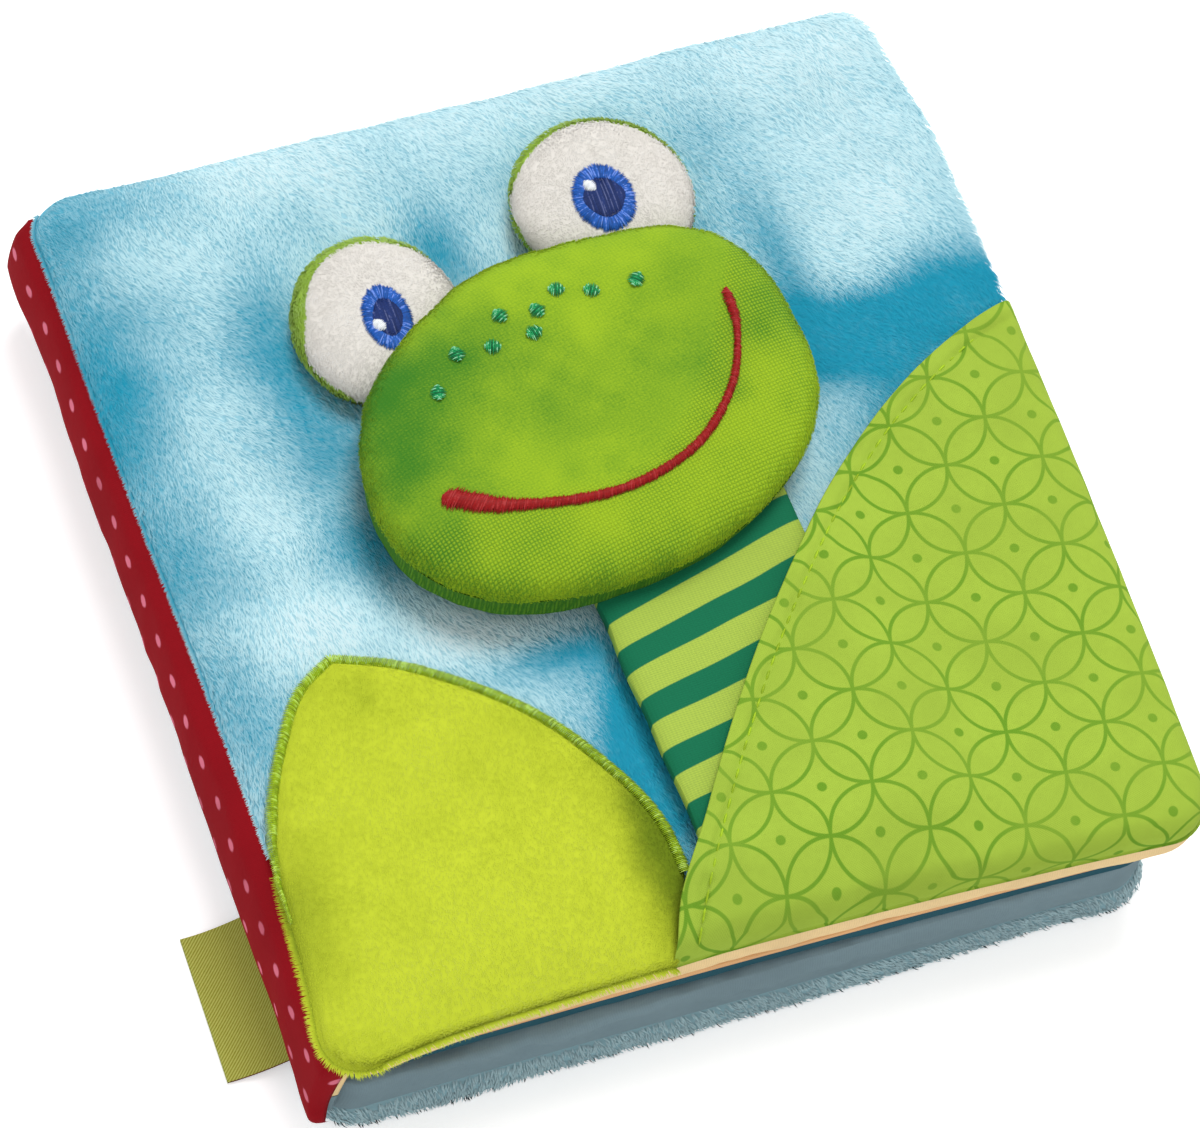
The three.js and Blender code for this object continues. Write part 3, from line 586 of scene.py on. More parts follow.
class Finish:
    """A material in the making."""

    def __init__(self, name):
        self.material = bpy.data.materials.new(name)
        self.material.use_nodes = True
        self.tree = self.material.node_tree
        self.tree.nodes.clear()

    def node(self, kind, settings=None, inputs=None, output=0):
        """A node of a type, with its settings first and then its sockets; its chosen output."""
        made = self.tree.nodes.new(kind)
        for key, value in (settings or {}).items():
            setattr(made, key, value)
        for key, value in (inputs or {}).items():
            socket = made.inputs[key]
            if isinstance(value, Wire):
                self.tree.links.new(value.socket, socket)
            elif socket.type == "RGBA" and len(value) == 3:
                socket.default_value = (*value, 1)
            else:
                socket.default_value = value
        return Wire(self, made.outputs[output]) if made.outputs else None

    def math(self, operation, *values):
        return self.node("ShaderNodeMath", {"operation": operation}, dict(enumerate(values)))

    def step(self, low, high, value):
        """From 0 at low to 1 at high, smoothly."""
        limits = {"Value": value, "From Min": low, "From Max": high}
        return self.node("ShaderNodeMapRange", {"interpolation_type": "SMOOTHSTEP"}, limits)

    def mix(self, factor, first, second, blend="MIX"):
        """One colour over another."""
        settings = {"data_type": "RGBA", "blend_type": blend}
        return self.node("ShaderNodeMix", settings, {0: factor, 6: first, 7: second}, output=2)

    def place(self, *scale):
        """Where a point lies in the frame, in metres, stretched by a scale for each axis."""
        here = self.node("ShaderNodeTexCoord", output="Object")
        if not scale:
            return here
        return self.node("ShaderNodeVectorMath", {"operation": "MULTIPLY"}, {0: here, 1: scale})

    def cloth(self):
        """Where a point lies on the flat cloth, as two wires."""
        flat = self.node("ShaderNodeAttribute", {"attribute_name": "cloth"}, output="Vector")
        parts = self.node("ShaderNodeSeparateXYZ", inputs={0: flat})
        return parts, Wire(self, parts.socket.node.outputs[1])

    def shade(self):
        """How pale a point is, as its piece says."""
        return self.node("ShaderNodeAttribute", {"attribute_name": "shade"}, output="Fac")

    def axes(self):
        parts = self.node("ShaderNodeSeparateXYZ", inputs={0: self.place()})
        return [Wire(self, output) for output in parts.socket.node.outputs]

    def noise(self, lumps_per_metre, detail=2, where=None, roughness=0.5):
        inputs = {"Vector": where or self.place(), "Scale": lumps_per_metre, "Detail": detail,
                  "Roughness": roughness}
        return self.node("ShaderNodeTexNoise", inputs=inputs)

    def bump(self, height, distance, strength=1.0):
        inputs = {"Height": height, "Distance": distance, "Strength": strength}
        return self.node("ShaderNodeBump", inputs=inputs)

    def surface(self, **inputs):
        """Ends the material in a Principled shader, and gives the material."""
        named = {key.replace("_", " ").title().replace("Ior", "IOR"): inputs[key] for key in inputs}
        shader = self.node("ShaderNodeBsdfPrincipled", inputs=named)
        self.node("ShaderNodeOutputMaterial", inputs={"Surface": shader})
        return self.material


def scaled(colour, share):
    return tuple(c * share for c in colour)


def toward(colour, other, share):
    return tuple(a + (b - a) * share for a, b in zip(colour, other))


WHITE = (1, 1, 1)


def cotton_weave(finish, pitch):
    """Height of a plain weave, with threads that vary."""
    u, v = finish.cloth()
    turn = 2 * math.pi / pitch
    weft = finish.math("SINE", u * turn) * finish.math("SINE", v * turn)
    slub = finish.noise(900, 2)
    return weft * 0.5 + 0.5 + slub * 0.8


def cotton(name, colour, over=None):
    """Plain woven cotton; over paints a pattern on the ground colour."""
    finish = Finish(name)
    height = cotton_weave(finish, sizes().weave)
    # The weave's low places are drawn darker than its threads: painted shade, mixed with the random tone of
    # the slubs.
    ground = finish.mix(finish.step(0.2, 1.3, height), scaled(colour, 0.9), scaled(colour, 1.06))
    if over:
        ground = over(finish, ground)
    cloudy = finish.step(0.35, 0.7, finish.noise(60, 4))
    base = finish.mix(cloudy * 0.5, ground, scaled(colour, 0.8))
    normal = finish.bump(height, 0.04 * MM, 0.6)
    return finish.surface(base_color=base, roughness=0.95, normal=normal, specular_ior_level=0.1)


DOT_ROWS_START = 3.6 * MM


def spine_dots(finish, ground):
    """Staggered rows of small oval dots along the spine."""
    pitch = sizes().dot_pitch
    along, over = finish.cloth()
    gap = pitch * 1.05
    across = over - DOT_ROWS_START
    row = finish.math("FLOOR", across / gap)
    shifted = along + row * pitch * 0.5
    u = (shifted % pitch) - pitch / 2
    v = (across % gap) - gap / 2
    wobble = finish.noise(1400, 1) * 0.25 * MM
    away = finish.math("SQRT", (u * 0.8) ** 2 + v ** 2) + wobble
    inside = 1 - finish.step(sizes().dot * 0.85, sizes().dot * 1.3, away)
    return finish.mix(inside * 0.95, ground, paint("dots"))


def interlocking_rings(finish, ground):
    """Two square lattices of rings that run through one another, with a dot where four petals meet."""
    radius = sizes().ring
    line = sizes().print_line / 2
    u, v = finish.cloth()
    x, y = turned(u, v, RING_TILT)
    drawn = None
    for shift in (0, radius):
        a = ((x + shift) % (2 * radius)) - radius
        b = ((y + shift) % (2 * radius)) - radius
        away = finish.math("SQRT", a * a + b * b)
        ring = 1 - finish.step(line * 0.6, line * 1.25, abs(away - radius))
        dot = 1 - finish.step(line * 2.0, line * 2.8, away)
        mark = finish.math("MAXIMUM", ring, dot)
        drawn = mark if drawn is None else finish.math("MAXIMUM", drawn, mark)
    return finish.mix(drawn * 0.85, ground, paint("print_line"))


def stripes(finish, ground):
    """Bands across the frog's body, tilted with its chin."""
    along, across = finish.cloth()
    slope = along * STRIPE_LEVELLING + math.tan(STRIPE_TILT)
    down = along - across * slope + (finish.noise(60, 1) - 0.5) * 0.7 * MM
    period = sizes().stripe
    phase = (down + STRIPE_START) % period
    width, soft = period * 0.47, 0.25 * MM
    inside = finish.step(0, soft, phase) * (1 - finish.step(width, width + soft, phase))
    return finish.mix(inside, ground, paint("stripe_dark"))


def jersey(name):
    """Striped knit: fine upright ribs of stitches."""
    finish = Finish(name)
    u, v = finish.cloth()
    turn = 2 * math.pi / KNIT_PITCH
    wales = finish.math("SINE", v * turn) * 0.5 + 0.5
    courses = finish.math("SINE", u * turn * 1.6) * 0.5 + 0.5
    fuzz = finish.noise(1600, 2)
    height = wales * 0.25 + courses * 0.45 + fuzz * 0.4
    light = paint("stripe_light")
    ground = stripes(finish, light)
    # Darker in the knit's low places: painted shade.
    base = finish.mix((1 - finish.step(0.2, 0.9, height)) * 0.22, ground, (0.0, 0.08, 0.04))
    normal = finish.bump(height, 0.05 * MM, 0.7)
    return finish.surface(base_color=base, roughness=0.85, normal=normal, specular_ior_level=0.3)


def pile_finish(name, tip, root, white=0.5, patch=60, grain=0.3):
    """Fibres drawn deep at the root and pale at the tip, painted shade among the fibres, and paler or deeper
    as their shade attribute says. The palest are whitened: painted sheen.
    """
    finish = Finish(name)
    shade = finish.shade()
    fine = finish.noise(700, 2)
    wide = finish.step(0.35, 0.68, finish.noise(patch, 3))
    lift = shade + (fine - 0.5) * grain + (wide - 0.5) * 0.1
    body = finish.mix(finish.step(0.05, 0.75, lift), root, tip)
    # The palest fibres are mixed toward white: painted sheen.
    base = finish.mix(finish.step(0.6, 1.0, lift) * white, body, WHITE)
    return finish.surface(base_color=base, roughness=0.9, specular_ior_level=0.2)


def pile_ground(name, deep, pale):
    """The knitted ground that a pile stands in, paler or deeper as the pile is, painted shade and painted
    light included.
    """
    finish = Finish(name)
    shade = finish.shade()
    grain = finish.noise(1500, 2)
    base = finish.mix(finish.step(0.05, 0.75, shade + (grain - 0.5) * 0.2), deep, pale)
    return finish.surface(base_color=base, roughness=1.0, specular_ior_level=0.2)


def velour_finish(name, deep, pale):
    """Close, short pile, paler or deeper as its shade attribute says, with the cells of its ground showing
    below the smile, paler on top and darker between them: painted shade.
    """
    finish = Finish(name)
    shade = finish.shade()
    grain = finish.noise(2600, 3, finish.place(1, 1.6, 1))
    x, y, _ = finish.axes()
    level, steep = math.cos(CHIN_SLOPE), math.sin(CHIN_SLOPE)
    along, over = x * level + y * steep, y * level - x * steep
    cell = math.pi / VELOUR_CELL
    warp = finish.noise(260, 2) * 3
    across, down = along * cell + warp, over * cell + warp * 0.6
    cells = abs(finish.math("SINE", across)) * abs(finish.math("SINE", down))
    beyond = finish.math("MAXIMUM", x + SMILE_TURN, 0.0)
    from_smile = y + SMILE_DEPTH - beyond * beyond * SMILE_RISE
    below = 1 - finish.step(-2 * MM, 4 * MM, from_smile)
    # The shade attribute carries painted shade and painted light of the head; the cells' gaps are darker:
    # painted shade.
    tone = shade + below * 0.06 + (grain - 0.5) * 0.45 + (cells - 0.42) * (below * 0.3 + 0.1)
    base = finish.mix(finish.step(0.1, 0.95, tone), deep, pale)
    normal = finish.bump(grain * 0.5 + cells * (below * 0.7 + 0.2), 0.2 * MM, 0.8)
    return finish.surface(base_color=base, roughness=0.9, normal=normal, specular_ior_level=0.2)


def thread_finish(name, colour, painted_glints=0.0):
    """Lustrous rayon thread; painted_glints is the share of near-white specks scattered at random: painted
    highlights of its lustre.
    """
    finish = Finish(name)
    shade = finish.shade()
    tone = shade * 0.8 + finish.noise(3500, 1) * 0.4
    deep, pale = scaled(colour, 0.75 - 0.35 * painted_glints), scaled(colour, 1.15 + 0.25 * painted_glints)
    base = finish.mix(finish.step(0.25, 0.95, tone), deep, pale)
    # Near-white specks: painted highlights.
    specks = finish.step(0.7, 0.82, tone) * painted_glints
    base = finish.mix(specks, base, toward(scaled(colour, 1.7), WHITE, 0.25))
    return finish.surface(base_color=base, roughness=0.5, specular_ior_level=0.25)


# How far along the tag's cloth its fold is
TAG_FOLD = 12.5 * MM


def twill_finish(name):
    """Diagonal ribs of a woven tag, which looks red below its fold."""
    finish = Finish(name)
    u, v = finish.cloth()
    rib = finish.math("SINE", (u + v) * (2 * math.pi / TWILL_PITCH)) * 0.5 + 0.5
    grain = finish.noise(1800, 2)
    height = rib * 0.8 + grain * 0.4
    colour = paint("twill")
    # Deeper in the grooves between the ribs and whitened on their ridges: painted shade and painted
    # highlight.
    face = finish.mix(finish.step(0.1, 1.0, height), scaled(colour, 0.6), toward(colour, WHITE, 0.08))
    under = finish.step(TAG_FOLD - 0.3 * MM, TAG_FOLD + 0.3 * MM, v)
    base = finish.mix(under * 0.85, face, scaled(paint("red"), 0.8))
    normal = finish.bump(height, 0.07 * MM, 0.9)
    return finish.surface(base_color=base, roughness=0.8, normal=normal, specular_ior_level=0.3)


# Pages

class Page:
    """The outline and the heights of a padded page, from the boxes of its two skins. Over and under are
    the width and the fullness of its two domes."""

    def __init__(self, upper, lower, size, shift, bows, over, under, lean=0, pulls=()):
        low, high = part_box(upper)
        base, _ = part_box(lower)
        self.half = tuple(length / 2 * MM for length in size)
        self.centre = shift * MM
        self.bows, self.lean, self.pulls = bows, lean * MM, pulls
        self.seam, self.top, self.bottom = low.z, high.z, base.z
        self.over, self.under = over, under

    def inset(self, x, y):
        """How far in from the seam a place of the page frame is."""
        dx, dy = (np.abs(v) - (h - CORNER) for v, h in zip((x, y), self.half))
        corner = CORNER - np.hypot(np.maximum(dx, 0), np.maximum(dy, 0))
        return np.where(np.minimum(dx, dy) > 0, corner, CORNER - np.maximum(dx, dy))

    def outward(self, x, y):
        """The way out of the page from a place near its edge."""
        dx, dy = (np.abs(v) - (h - CORNER) for v, h in zip((x, y), self.half))
        reach = np.maximum(np.hypot(dx, dy), 1e-9)
        round_corner = (dx > 0) & (dy > 0)
        across = np.where(round_corner, dx / reach, dx >= dy)
        along = np.where(round_corner, dy / reach, dx < dy)
        return np.sign(x) * across, np.sign(y) * along

    def grid(self, step):
        """Places in rows and columns inside the round-cornered outline, crowded at its edges."""
        lines = []
        for half in self.half:
            edge = EDGE_BAND * (np.arange(EDGE_STEPS) / EDGE_STEPS) ** 2
            inner = np.linspace(EDGE_BAND - half, half - EDGE_BAND, int(2 * (half - EDGE_BAND) / step))
            lines.append(np.concatenate([edge - half, inner, half - edge[::-1]]))
        x, y = np.meshgrid(*lines, indexing="ij")
        a, b = self.half
        p = np.clip((np.abs(x) - (a - CORNER)) / CORNER, 0, 1)
        q = np.clip((np.abs(y) - (b - CORNER)) / CORNER, 0, 1)
        round_x = np.where(p > 0, a - CORNER + CORNER * p * np.sqrt(1 - q * q / 2), np.abs(x))
        round_y = np.where(q > 0, b - CORNER + CORNER * q * np.sqrt(1 - p * p / 2), np.abs(y))
        return np.sign(x) * round_x, np.sign(y) * round_y

    def bowed(self, x, y):
        """Where a place goes when the page's sides bow in or out between the corners."""
        fx, fy = x / self.half[0], y / self.half[1]
        right, top, left, bottom = (bow * MM for bow in self.bows)
        rim = smooth(BOWED_RIM, BOWED_RIM / 4, self.inset(x, y))
        lean = self.lean * leaning(y) * (x < 0)
        across = x + rim * (np.where(x > 0, right, left) * fx * (1 - fy * fy) - lean)
        along = y + rim * np.where(y > 0, top, bottom) * fy * (1 - fx * fx)
        for side_x, side_y, out_x, out_y, reach in self.pulls:
            far = np.hypot(x - side_x * self.half[0], y - side_y * self.half[1]) / MM
            near = np.exp(-(far / reach) ** 2) * MM
            across, along = across + side_x * out_x * near, along + side_y * out_y * near
        return across, along

    def rolled(self, x, y, roll, apart=0.0):
        """Where a place of an upper face goes, with the padding rolling out over the seam.
        A cloth that covers that face stands apart from its wall."""
        inset = self.inset(x, y)
        bump = np.sin(np.pi * np.clip(inset / ROLL_RUN, 0, 1) ** 0.5)
        return self.moved_out(x, y, roll * bump * self.free_side(x) + apart * smooth(5 * MM, MM, inset))

    def free_side(self, x):
        """0 at the hinged side of the page, 1 away from it."""
        return smooth(-self.half[0] + 1 * MM, -self.half[0] + 9 * MM, x)

    def moved_out(self, x, y, distance):
        way_x, way_y = self.outward(x, y)
        bowed_x, bowed_y = self.bowed(x, y)
        return bowed_x + way_x * distance + self.centre, bowed_y + way_y * distance

    def upper(self, x, y, sunk=0.0):
        """Height of the page's upper face, or of a face sunk below it."""
        width, fullness = self.over
        inset = self.inset(x, y)
        rise = (self.top - self.seam) * dome(inset - sunk * 0.5, width, fullness)
        return self.seam + rise - sunk * smooth(0, sunk + MM, inset)

    def wall(self, x, y, up, roll, turn_under):
        """Places of a face that stands as a wall from the seam and then turns flat."""
        inset = self.inset(x, y)
        p = np.clip(inset / WALL_RUN, 0, 1)
        share = np.sin(np.pi / 2 * p ** 0.8)
        inward = WALL_RUN * p - turn_under * p ** 5 + roll * self.free_side(x) * np.sin(np.pi * p) ** 0.8
        inward = np.where(inset < WALL_RUN, inward,
                          (WALL_RUN - turn_under) * np.exp(-(inset - WALL_RUN) / (4 * MM)))
        across, along = self.moved_out(x, y, inward)
        end = self.top if up else self.bottom
        return np.stack([across, along, self.seam + (end - self.seam) * share], axis=2)


def leaning(y):
    """How much of the hinge side's lean a place along it has."""
    return smooth(-66 * MM, 55 * MM, y)


CROWN = (20 * MM, 5)
WALL = (13 * MM, 7)
BELLY = (8 * MM, 3.5)
THIN = (10 * MM, 6)
STUFFED = (18 * MM, 3.2)
BUTTON = (9 * MM, 2)

back_page = Page("back_cover_lining", "back_cover_plush", BACK_SIZE, 0, BOWS, WALL, BELLY, 0, BACK_PULLS)
leaf_page = Page("leaf_front_face", "leaf_back_face", LEAF_SIZE, LEAF_SHIFT, BOWS, THIN, THIN)
front_page = Page("front_cover_plush", "front_cover_lining", FRONT_SIZE, FRONT_SHIFT, FRONT_BOWS, CROWN,
                  WALL, HINGE_LEAN, FRONT_PULLS)
FRONT_X = front_page.centre


def on_page(places):
    """Across and along the page frame, of places in the frame."""
    return places[:, 0] - FRONT_X, places[:, 1]


def moved_skin(page, points, inset, moves):
    """A grid of points as (points, faces, cloth), moved along its normals."""
    faces = quads(*points.shape[:2])
    cloth = arc_places(points)
    flat = points.reshape(-1, 3)
    normal = normals_of(flat, faces)
    if normal[:, 2].mean() * (flat[:, 2].mean() - page.seam) < 0:
        faces, normal = faces[:, ::-1], -normal
    amount = moves(*flat.T, inset.ravel())
    return flat + normal * amount[:, None], faces, cloth


def wall_skin(page, up, step, roll, turn_under, moves):
    """The face of a page that stands up from its seam as a wall."""
    x, y = page.grid(step)
    return moved_skin(page, page.wall(x, y, up, roll, turn_under), page.inset(x, y), moves)


def crown_skin(page, height, step, roll, moves):
    """The crowned face of a page, whose padding rolls out over the seam."""
    x, y = page.grid(step)
    points = np.stack([*page.rolled(x, y, roll), height(x, y)], axis=2)
    return moved_skin(page, points, page.inset(x, y), moves)


def cover_folds(x, y):
    """Slow rises and hollows of the front cover's plush."""
    return (dents(x, y, 34, 11) * 0.55 + dents(x, y, 15, 12) * 0.28) * MM


def front_height(x, y):
    """Height of the front cover's padded top under its pile, at a place of the page frame."""
    inset = front_page.inset(x, y)
    return front_page.upper(x, y, PLUSH_SINK) + cover_folds(x, y) * smooth(1 * MM, 12 * MM, inset)


def seam_gathers(x, y, z, inset, depth, reach, seed, pitch=7 * MM):
    """Creases that run from a seam into a cotton wall."""
    along = lumps(x / pitch + z / (3 * pitch), y / pitch - z / (3 * pitch), seed)
    fine = lumps(x / (pitch * 0.45), y / (pitch * 0.45) + z / pitch, seed + 1)
    folds = along * 0.7 + fine * 0.35
    return depth * folds * np.exp(-inset / reach)


def comb_field(place, seed, turn=0.35, heading=-1.3):
    """The way the pile lies, which wanders over the cover."""
    x, y = place[:, 0], place[:, 1]
    angle = heading + turn * dents(x, y, 26, seed)
    angle = angle + 0.25 * dents(x, y, 7, seed + 1)
    return np.stack([np.cos(angle), np.sin(angle), np.zeros(len(x))], axis=1)


# How far the underside's skin and its pile keep from the table
SKIN_GAP = 0.5 * MM
PILE_GAP = 0.05 * MM


class MakeBackCover(bpy.types.Operator):
    """Plush underside and pale blue lining of the back cover"""
    bl_idname = "cloth_book.back_cover"
    bl_label = "Back cover"

    def execute(self, context):
        points, faces, cloth = wall_skin(
            back_page, False, 1.6 * MM, 1.3 * MM, 1.2 * MM,
            lambda x, y, z, inset: 0.25 * MM * dents(x, y, 9, 21) * smooth(0, MM, inset))
        points[:, 2] = np.maximum(points[:, 2], SKIN_GAP)
        # The underside's knitted ground is drawn at half to seven tenths of the front's, and darker still
        # toward its seam: painted shade.
        seam = points[:, 2].max() - points[:, 2]
        shade = 0.5 * smooth(0.3 * MM, 2 * MM, seam)
        ground = pile_ground("sky_ground", scaled(sky_between(), 0.5), scaled(sky_between(), 0.7))
        skin = new_object("back_plush", points, faces, ground, cloth, shade)
        dress(skin, "back_cover", ["back_cover_plush", "back_cover_wadding"])
        rng = np.random.default_rng(22)
        place, normal = scattered(points, faces, UNDERSIDE_TUFTS, rng)
        kept = (place[:, 2] > 1.2 * MM) | ((rng.random(len(place)) < 0.3) & (normal[:, 2] < -0.7))
        place, normal = place[kept], normal[kept]
        comb = comb_field(place, 23)
        comb[:, 2] = -0.2
        # The underside's pile is a darker copy of the cover's pile, tinted toward the lining's blue: painted
        # shade.
        tip, root = scaled(paint("sky"), 0.8), scaled(paint("pale_blue"), 1.05)
        shady = pile_finish("sky_shady_pile", tip, root, 0.0)
        length, width = sizes().pile * UNDERSIDE_LENGTH, sizes().pile_width * UNDERSIDE_WIDTH
        for tuft in grow_pile("back_pile", place, normal, comb, length, width, COVER_LIFT, shady,
                              "back_cover", 24):
            lift_off_table(tuft)
        points, faces, cloth = wall_skin(
            back_page, True, 1.4 * MM, 0.5 * MM, 1.5 * MM,
            lambda x, y, z, inset: wall_folds(x, y, z, inset, 25) - 0.35 * MM * smooth(0, MM, inset))
        finish = cotton("pale_blue_cotton", paint("pale_blue"))
        lining = new_object("back_lining", points, faces, finish, cloth)
        dress(lining, "back_cover", ["back_cover_lining"])
        return {"FINISHED"}


def lift_off_table(made):
    """Presses a piece's lowest points up to the table."""
    mesh = made.data
    places = np.zeros(len(mesh.vertices) * 3, np.float32)
    mesh.vertices.foreach_get("co", places)
    places = places.reshape(-1, 3)
    places[:, 2] = np.maximum(places[:, 2], PILE_GAP)
    mesh.vertices.foreach_set("co", places.ravel())
    mesh.update()


def wall_folds(x, y, z, inset, seed):
    """Long low folds along a standing cotton wall, and small creases that run up from its seam."""
    round_page = x + y
    long = lumps(round_page / (26 * MM), z / (3.2 * MM), seed) * 0.8
    short = lumps(x / (4 * MM) + z / (9 * MM), y / (4 * MM) - z / (9 * MM), seed + 1) * 0.5
    pleat = lumps((x - y) / (2.2 * MM), (x + y) / (30 * MM), seed + 2) * 0.2
    return MM * (long + short + pleat) * smooth(0, 0.4 * MM, inset) * smooth(12 * MM, 3 * MM, inset)


def sky_between():
    """The colour of the covers' knitted ground, seen between the tufts."""
    return toward(paint("sky_root"), paint("sky"), 0.7)


def shared_pile(name, *settings):
    """A pile's finish, made once."""
    return bpy.data.materials.get(name) or pile_finish(name, *settings)


def sky_pile():
    return shared_pile("sky_pile", paint("sky"), paint("sky_root"), 0.3, 60, 0.22)


# The leaf's front face is drawn darker and redder than the cover's lining: painted shade of the gap between
# the covers
LEAF_SHADE_CAST = (0.7, 0.2, 0.05)
LEAF_SHADE_CAST_SHARE = 0.45


class MakeLeaf(bpy.types.Operator):
    """Padded cotton leaf between the covers"""
    bl_idname = "cloth_book.leaf"
    bl_label = "Leaf"

    def execute(self, context):
        faces_of = {
            "leaf_front": (True, "peach", "peach_cotton", ["leaf_front_face", "leaf_wadding"]),
            "leaf_back": (False, "teal", "teal_cotton", ["leaf_back_face"]),
        }
        for seed, (name, (up, colour, slot, nodes)) in enumerate(faces_of.items(), 31):
            points, faces, cloth = wall_skin(
                leaf_page, up, 1.6 * MM, 0.4 * MM, 1 * MM,
                lambda x, y, z, inset: (seam_gathers(x, y, z, inset, 0.35 * MM, 4 * MM, seed) - 0.15 * MM)
                * smooth(0, MM, inset))
            finish = cotton(slot, toward(paint(colour), LEAF_SHADE_CAST, LEAF_SHADE_CAST_SHARE if up else 0))
            dress(new_object(name, points, faces, finish, cloth), "leaf", nodes)
        return {"FINISHED"}


def outside_pocket(x, y):
    """How far a place of the page frame lies outside the pocket's mouth; negative inside the pocket."""
    mouth = curve_through(POCKET_MOUTH, 200)
    return y - np.interp(x, mouth[:, 0], mouth[:, 1])


def leaf_edges(count):
    """The leaf patch's left and right edges, from its apex down to the seam, in metres."""
    ground = -front_page.half[1] / MM - 0.4
    side = -front_page.half[0] / MM - 0.1
    turn = np.linspace(np.pi, 1.5 * np.pi, 12)
    corner = CORNER * (1.04 * np.stack([np.cos(turn), np.sin(turn)], axis=1) + 1)
    corner += np.array([side, ground]) * MM
    left = np.vstack([curve_through([LEAF_APEX, *LEAF_LEFT], 60), np.array([[side, -52], [side, -66]]) * MM,
                      corner])
    right = np.vstack([curve_through([LEAF_APEX, *LEAF_RIGHT], 90),
                       np.array([[-13.4, -71], [-16, -76], [-17.9, ground]]) * MM])
    return respaced(left, count), respaced(right, count)


def from_leaf_edges(x, y):
    """How far in from the leaf patch's left and right edges a place of the page frame lies."""
    left, right = leaf_edges(160)
    return x - np.interp(-y, -left[:, 1], left[:, 0]), np.interp(-y, -right[:, 1], right[:, 0]) - x


class MakeFrontCover(bpy.types.Operator):
    """Plush front and peach lining of the front cover"""
    bl_idname = "cloth_book.front_cover"
    bl_label = "Front cover"

    def execute(self, context):
        points, faces, cloth = crown_skin(
            front_page, front_height, PLUSH_STEP, PLUSH_ROLL,
            lambda x, y, z, inset: 0.2 * MM * dents(x, y, 7, 41) * smooth(0, MM, inset))
        ground = pile_ground("sky_front_ground", paint("sky_root"), sky_between())
        shade = cover_light(*on_page(points))
        skin = new_object("front_plush", points, faces, ground, cloth, shade)
        dress(skin, "front_cover", ["front_cover_plush", "front_cover_wadding"])
        rng = np.random.default_rng(42)
        place, normal = scattered(points, faces, COVER_TUFTS, rng)
        x, y = place[:, 0] - FRONT_X, place[:, 1]
        from_left, from_right = from_leaf_edges(x, y)
        bare = (y < LEAF_APEX[1] * MM) & (from_left > 0) & (from_right > 0)
        bare |= (outside_pocket(x, y) < 1.2 * MM) | ((x < -60 * MM) & (y < -47 * MM))
        bare |= (normal[:, 2] < 0.3) & (y > 70 * MM)
        place, normal = place[~bare], lit_edge(normal, front_page.inset(x, y), 0.9)[~bare]
        comb = comb_field(place, 43)
        grow_pile("front_pile", place, normal, comb, sizes().pile, sizes().pile_width, COVER_LIFT,
                  sky_pile(), "front_cover", 44, cover_light(*on_page(place)))
        hinge_side = points[:len(front_page.grid(PLUSH_STEP)[0][0])]
        self.hinge_fringe(hinge_side[hinge_side[:, 1] > -44 * MM][::-1])
        points, faces, cloth = wall_skin(
            front_page, False, 1.4 * MM, 0.8 * MM, 1.6 * MM,
            lambda x, y, z, inset: (seam_gathers(x, y, z, inset, 0.5 * MM, 4 * MM, 45, 6 * MM) - 0.2 * MM)
            * smooth(0, MM, inset))
        lining = new_object("front_lining", points, faces, cotton("peach_lining", paint("peach")), cloth)
        dress(lining, "front_cover", ["front_cover_lining"])
        return {"FINISHED"}

    def hinge_fringe(self, edge):
        """Pile that hangs out over the seam at the spine."""
        place, out, comb = fringe(edge, 0.09 * MM)
        grow_pile("hinge_fringe", place, out, comb, 1.0 * MM, sizes().pile_width, COVER_LIFT, sky_pile(),
                  "front_cover", 46, cover_light(*on_page(place)))


def brushed_and_shaded(light, x, y, places, least=0):
    """How pale a pile is drawn, from least to 1, with the listed places made paler or deeper: partly nap
    brushing, partly painted shade and painted light.
    """
    for centre_x, centre_y, reach_x, reach_y, amount in places:
        far = ((x / MM - centre_x) / reach_x) ** 2 + ((y / MM - centre_y) / reach_y) ** 2
        light = light + amount * np.exp(-far)
    return np.clip(light, least, 1)


# Paleness of the cover's pile: random lumps and nap brushing, with painted shade, painted shadow and painted
# light at the listed places.
def cover_light(x, y):
    wide, narrow = lumps(x / (22 * MM), y / (30 * MM), 47), lumps(x / (9 * MM), y / (11 * MM), 48)
    return brushed_and_shaded(0.5 + 0.16 * wide + 0.1 * narrow, x, y, BRUSHED_AND_SHADED, DEEPEST)


def lime_light(x, y):
    """Darker by the pocket and at the spine, paler below: partly nap brushing, partly painted shade."""
    wide, narrow = dents(x, y, 12, 58), dents(x, y, 4, 59)
    return brushed_and_shaded(0.66 + 0.08 * wide + 0.06 * narrow, x, y, BRUSHED_AND_SHADED_LIME)


def fringe(edge, pitch, raised=1.0):
    """Roots, normals and comb of fibres that hang out over an edge; raised turns their normals up."""
    line = respaced(edge, int(length_along(edge) / pitch))
    way = np.gradient(line, axis=0)
    out = unit(np.stack([way[:, 1], -way[:, 0], 0 * way[:, 0]], axis=1))
    normal = (out + [0, 0, raised]) / math.hypot(1, raised)
    return line + np.array([0, 0, 0.4 * MM]), normal, np.tile([0.1, 0, -1.0], (len(line), 1))


def leaf_height(x, y):
    """Top of the leaf patch's ground under its short pile."""
    edge = np.minimum(np.minimum(*from_leaf_edges(x, y)), front_page.inset(x, y) + 1.5 * MM)
    puff = 0.5 * MM + 1.5 * MM * dome(np.maximum(edge, 0), 9 * MM, 3)
    ripple = 0.35 * MM * dents(x, y, 16, 52)
    lapped = 1.3 * MM * smooth(0.9 * MM, -0.4 * MM, front_page.inset(x, y))
    return front_height(x, y) + puff + ripple * smooth(2 * MM, 10 * MM, edge) - lapped


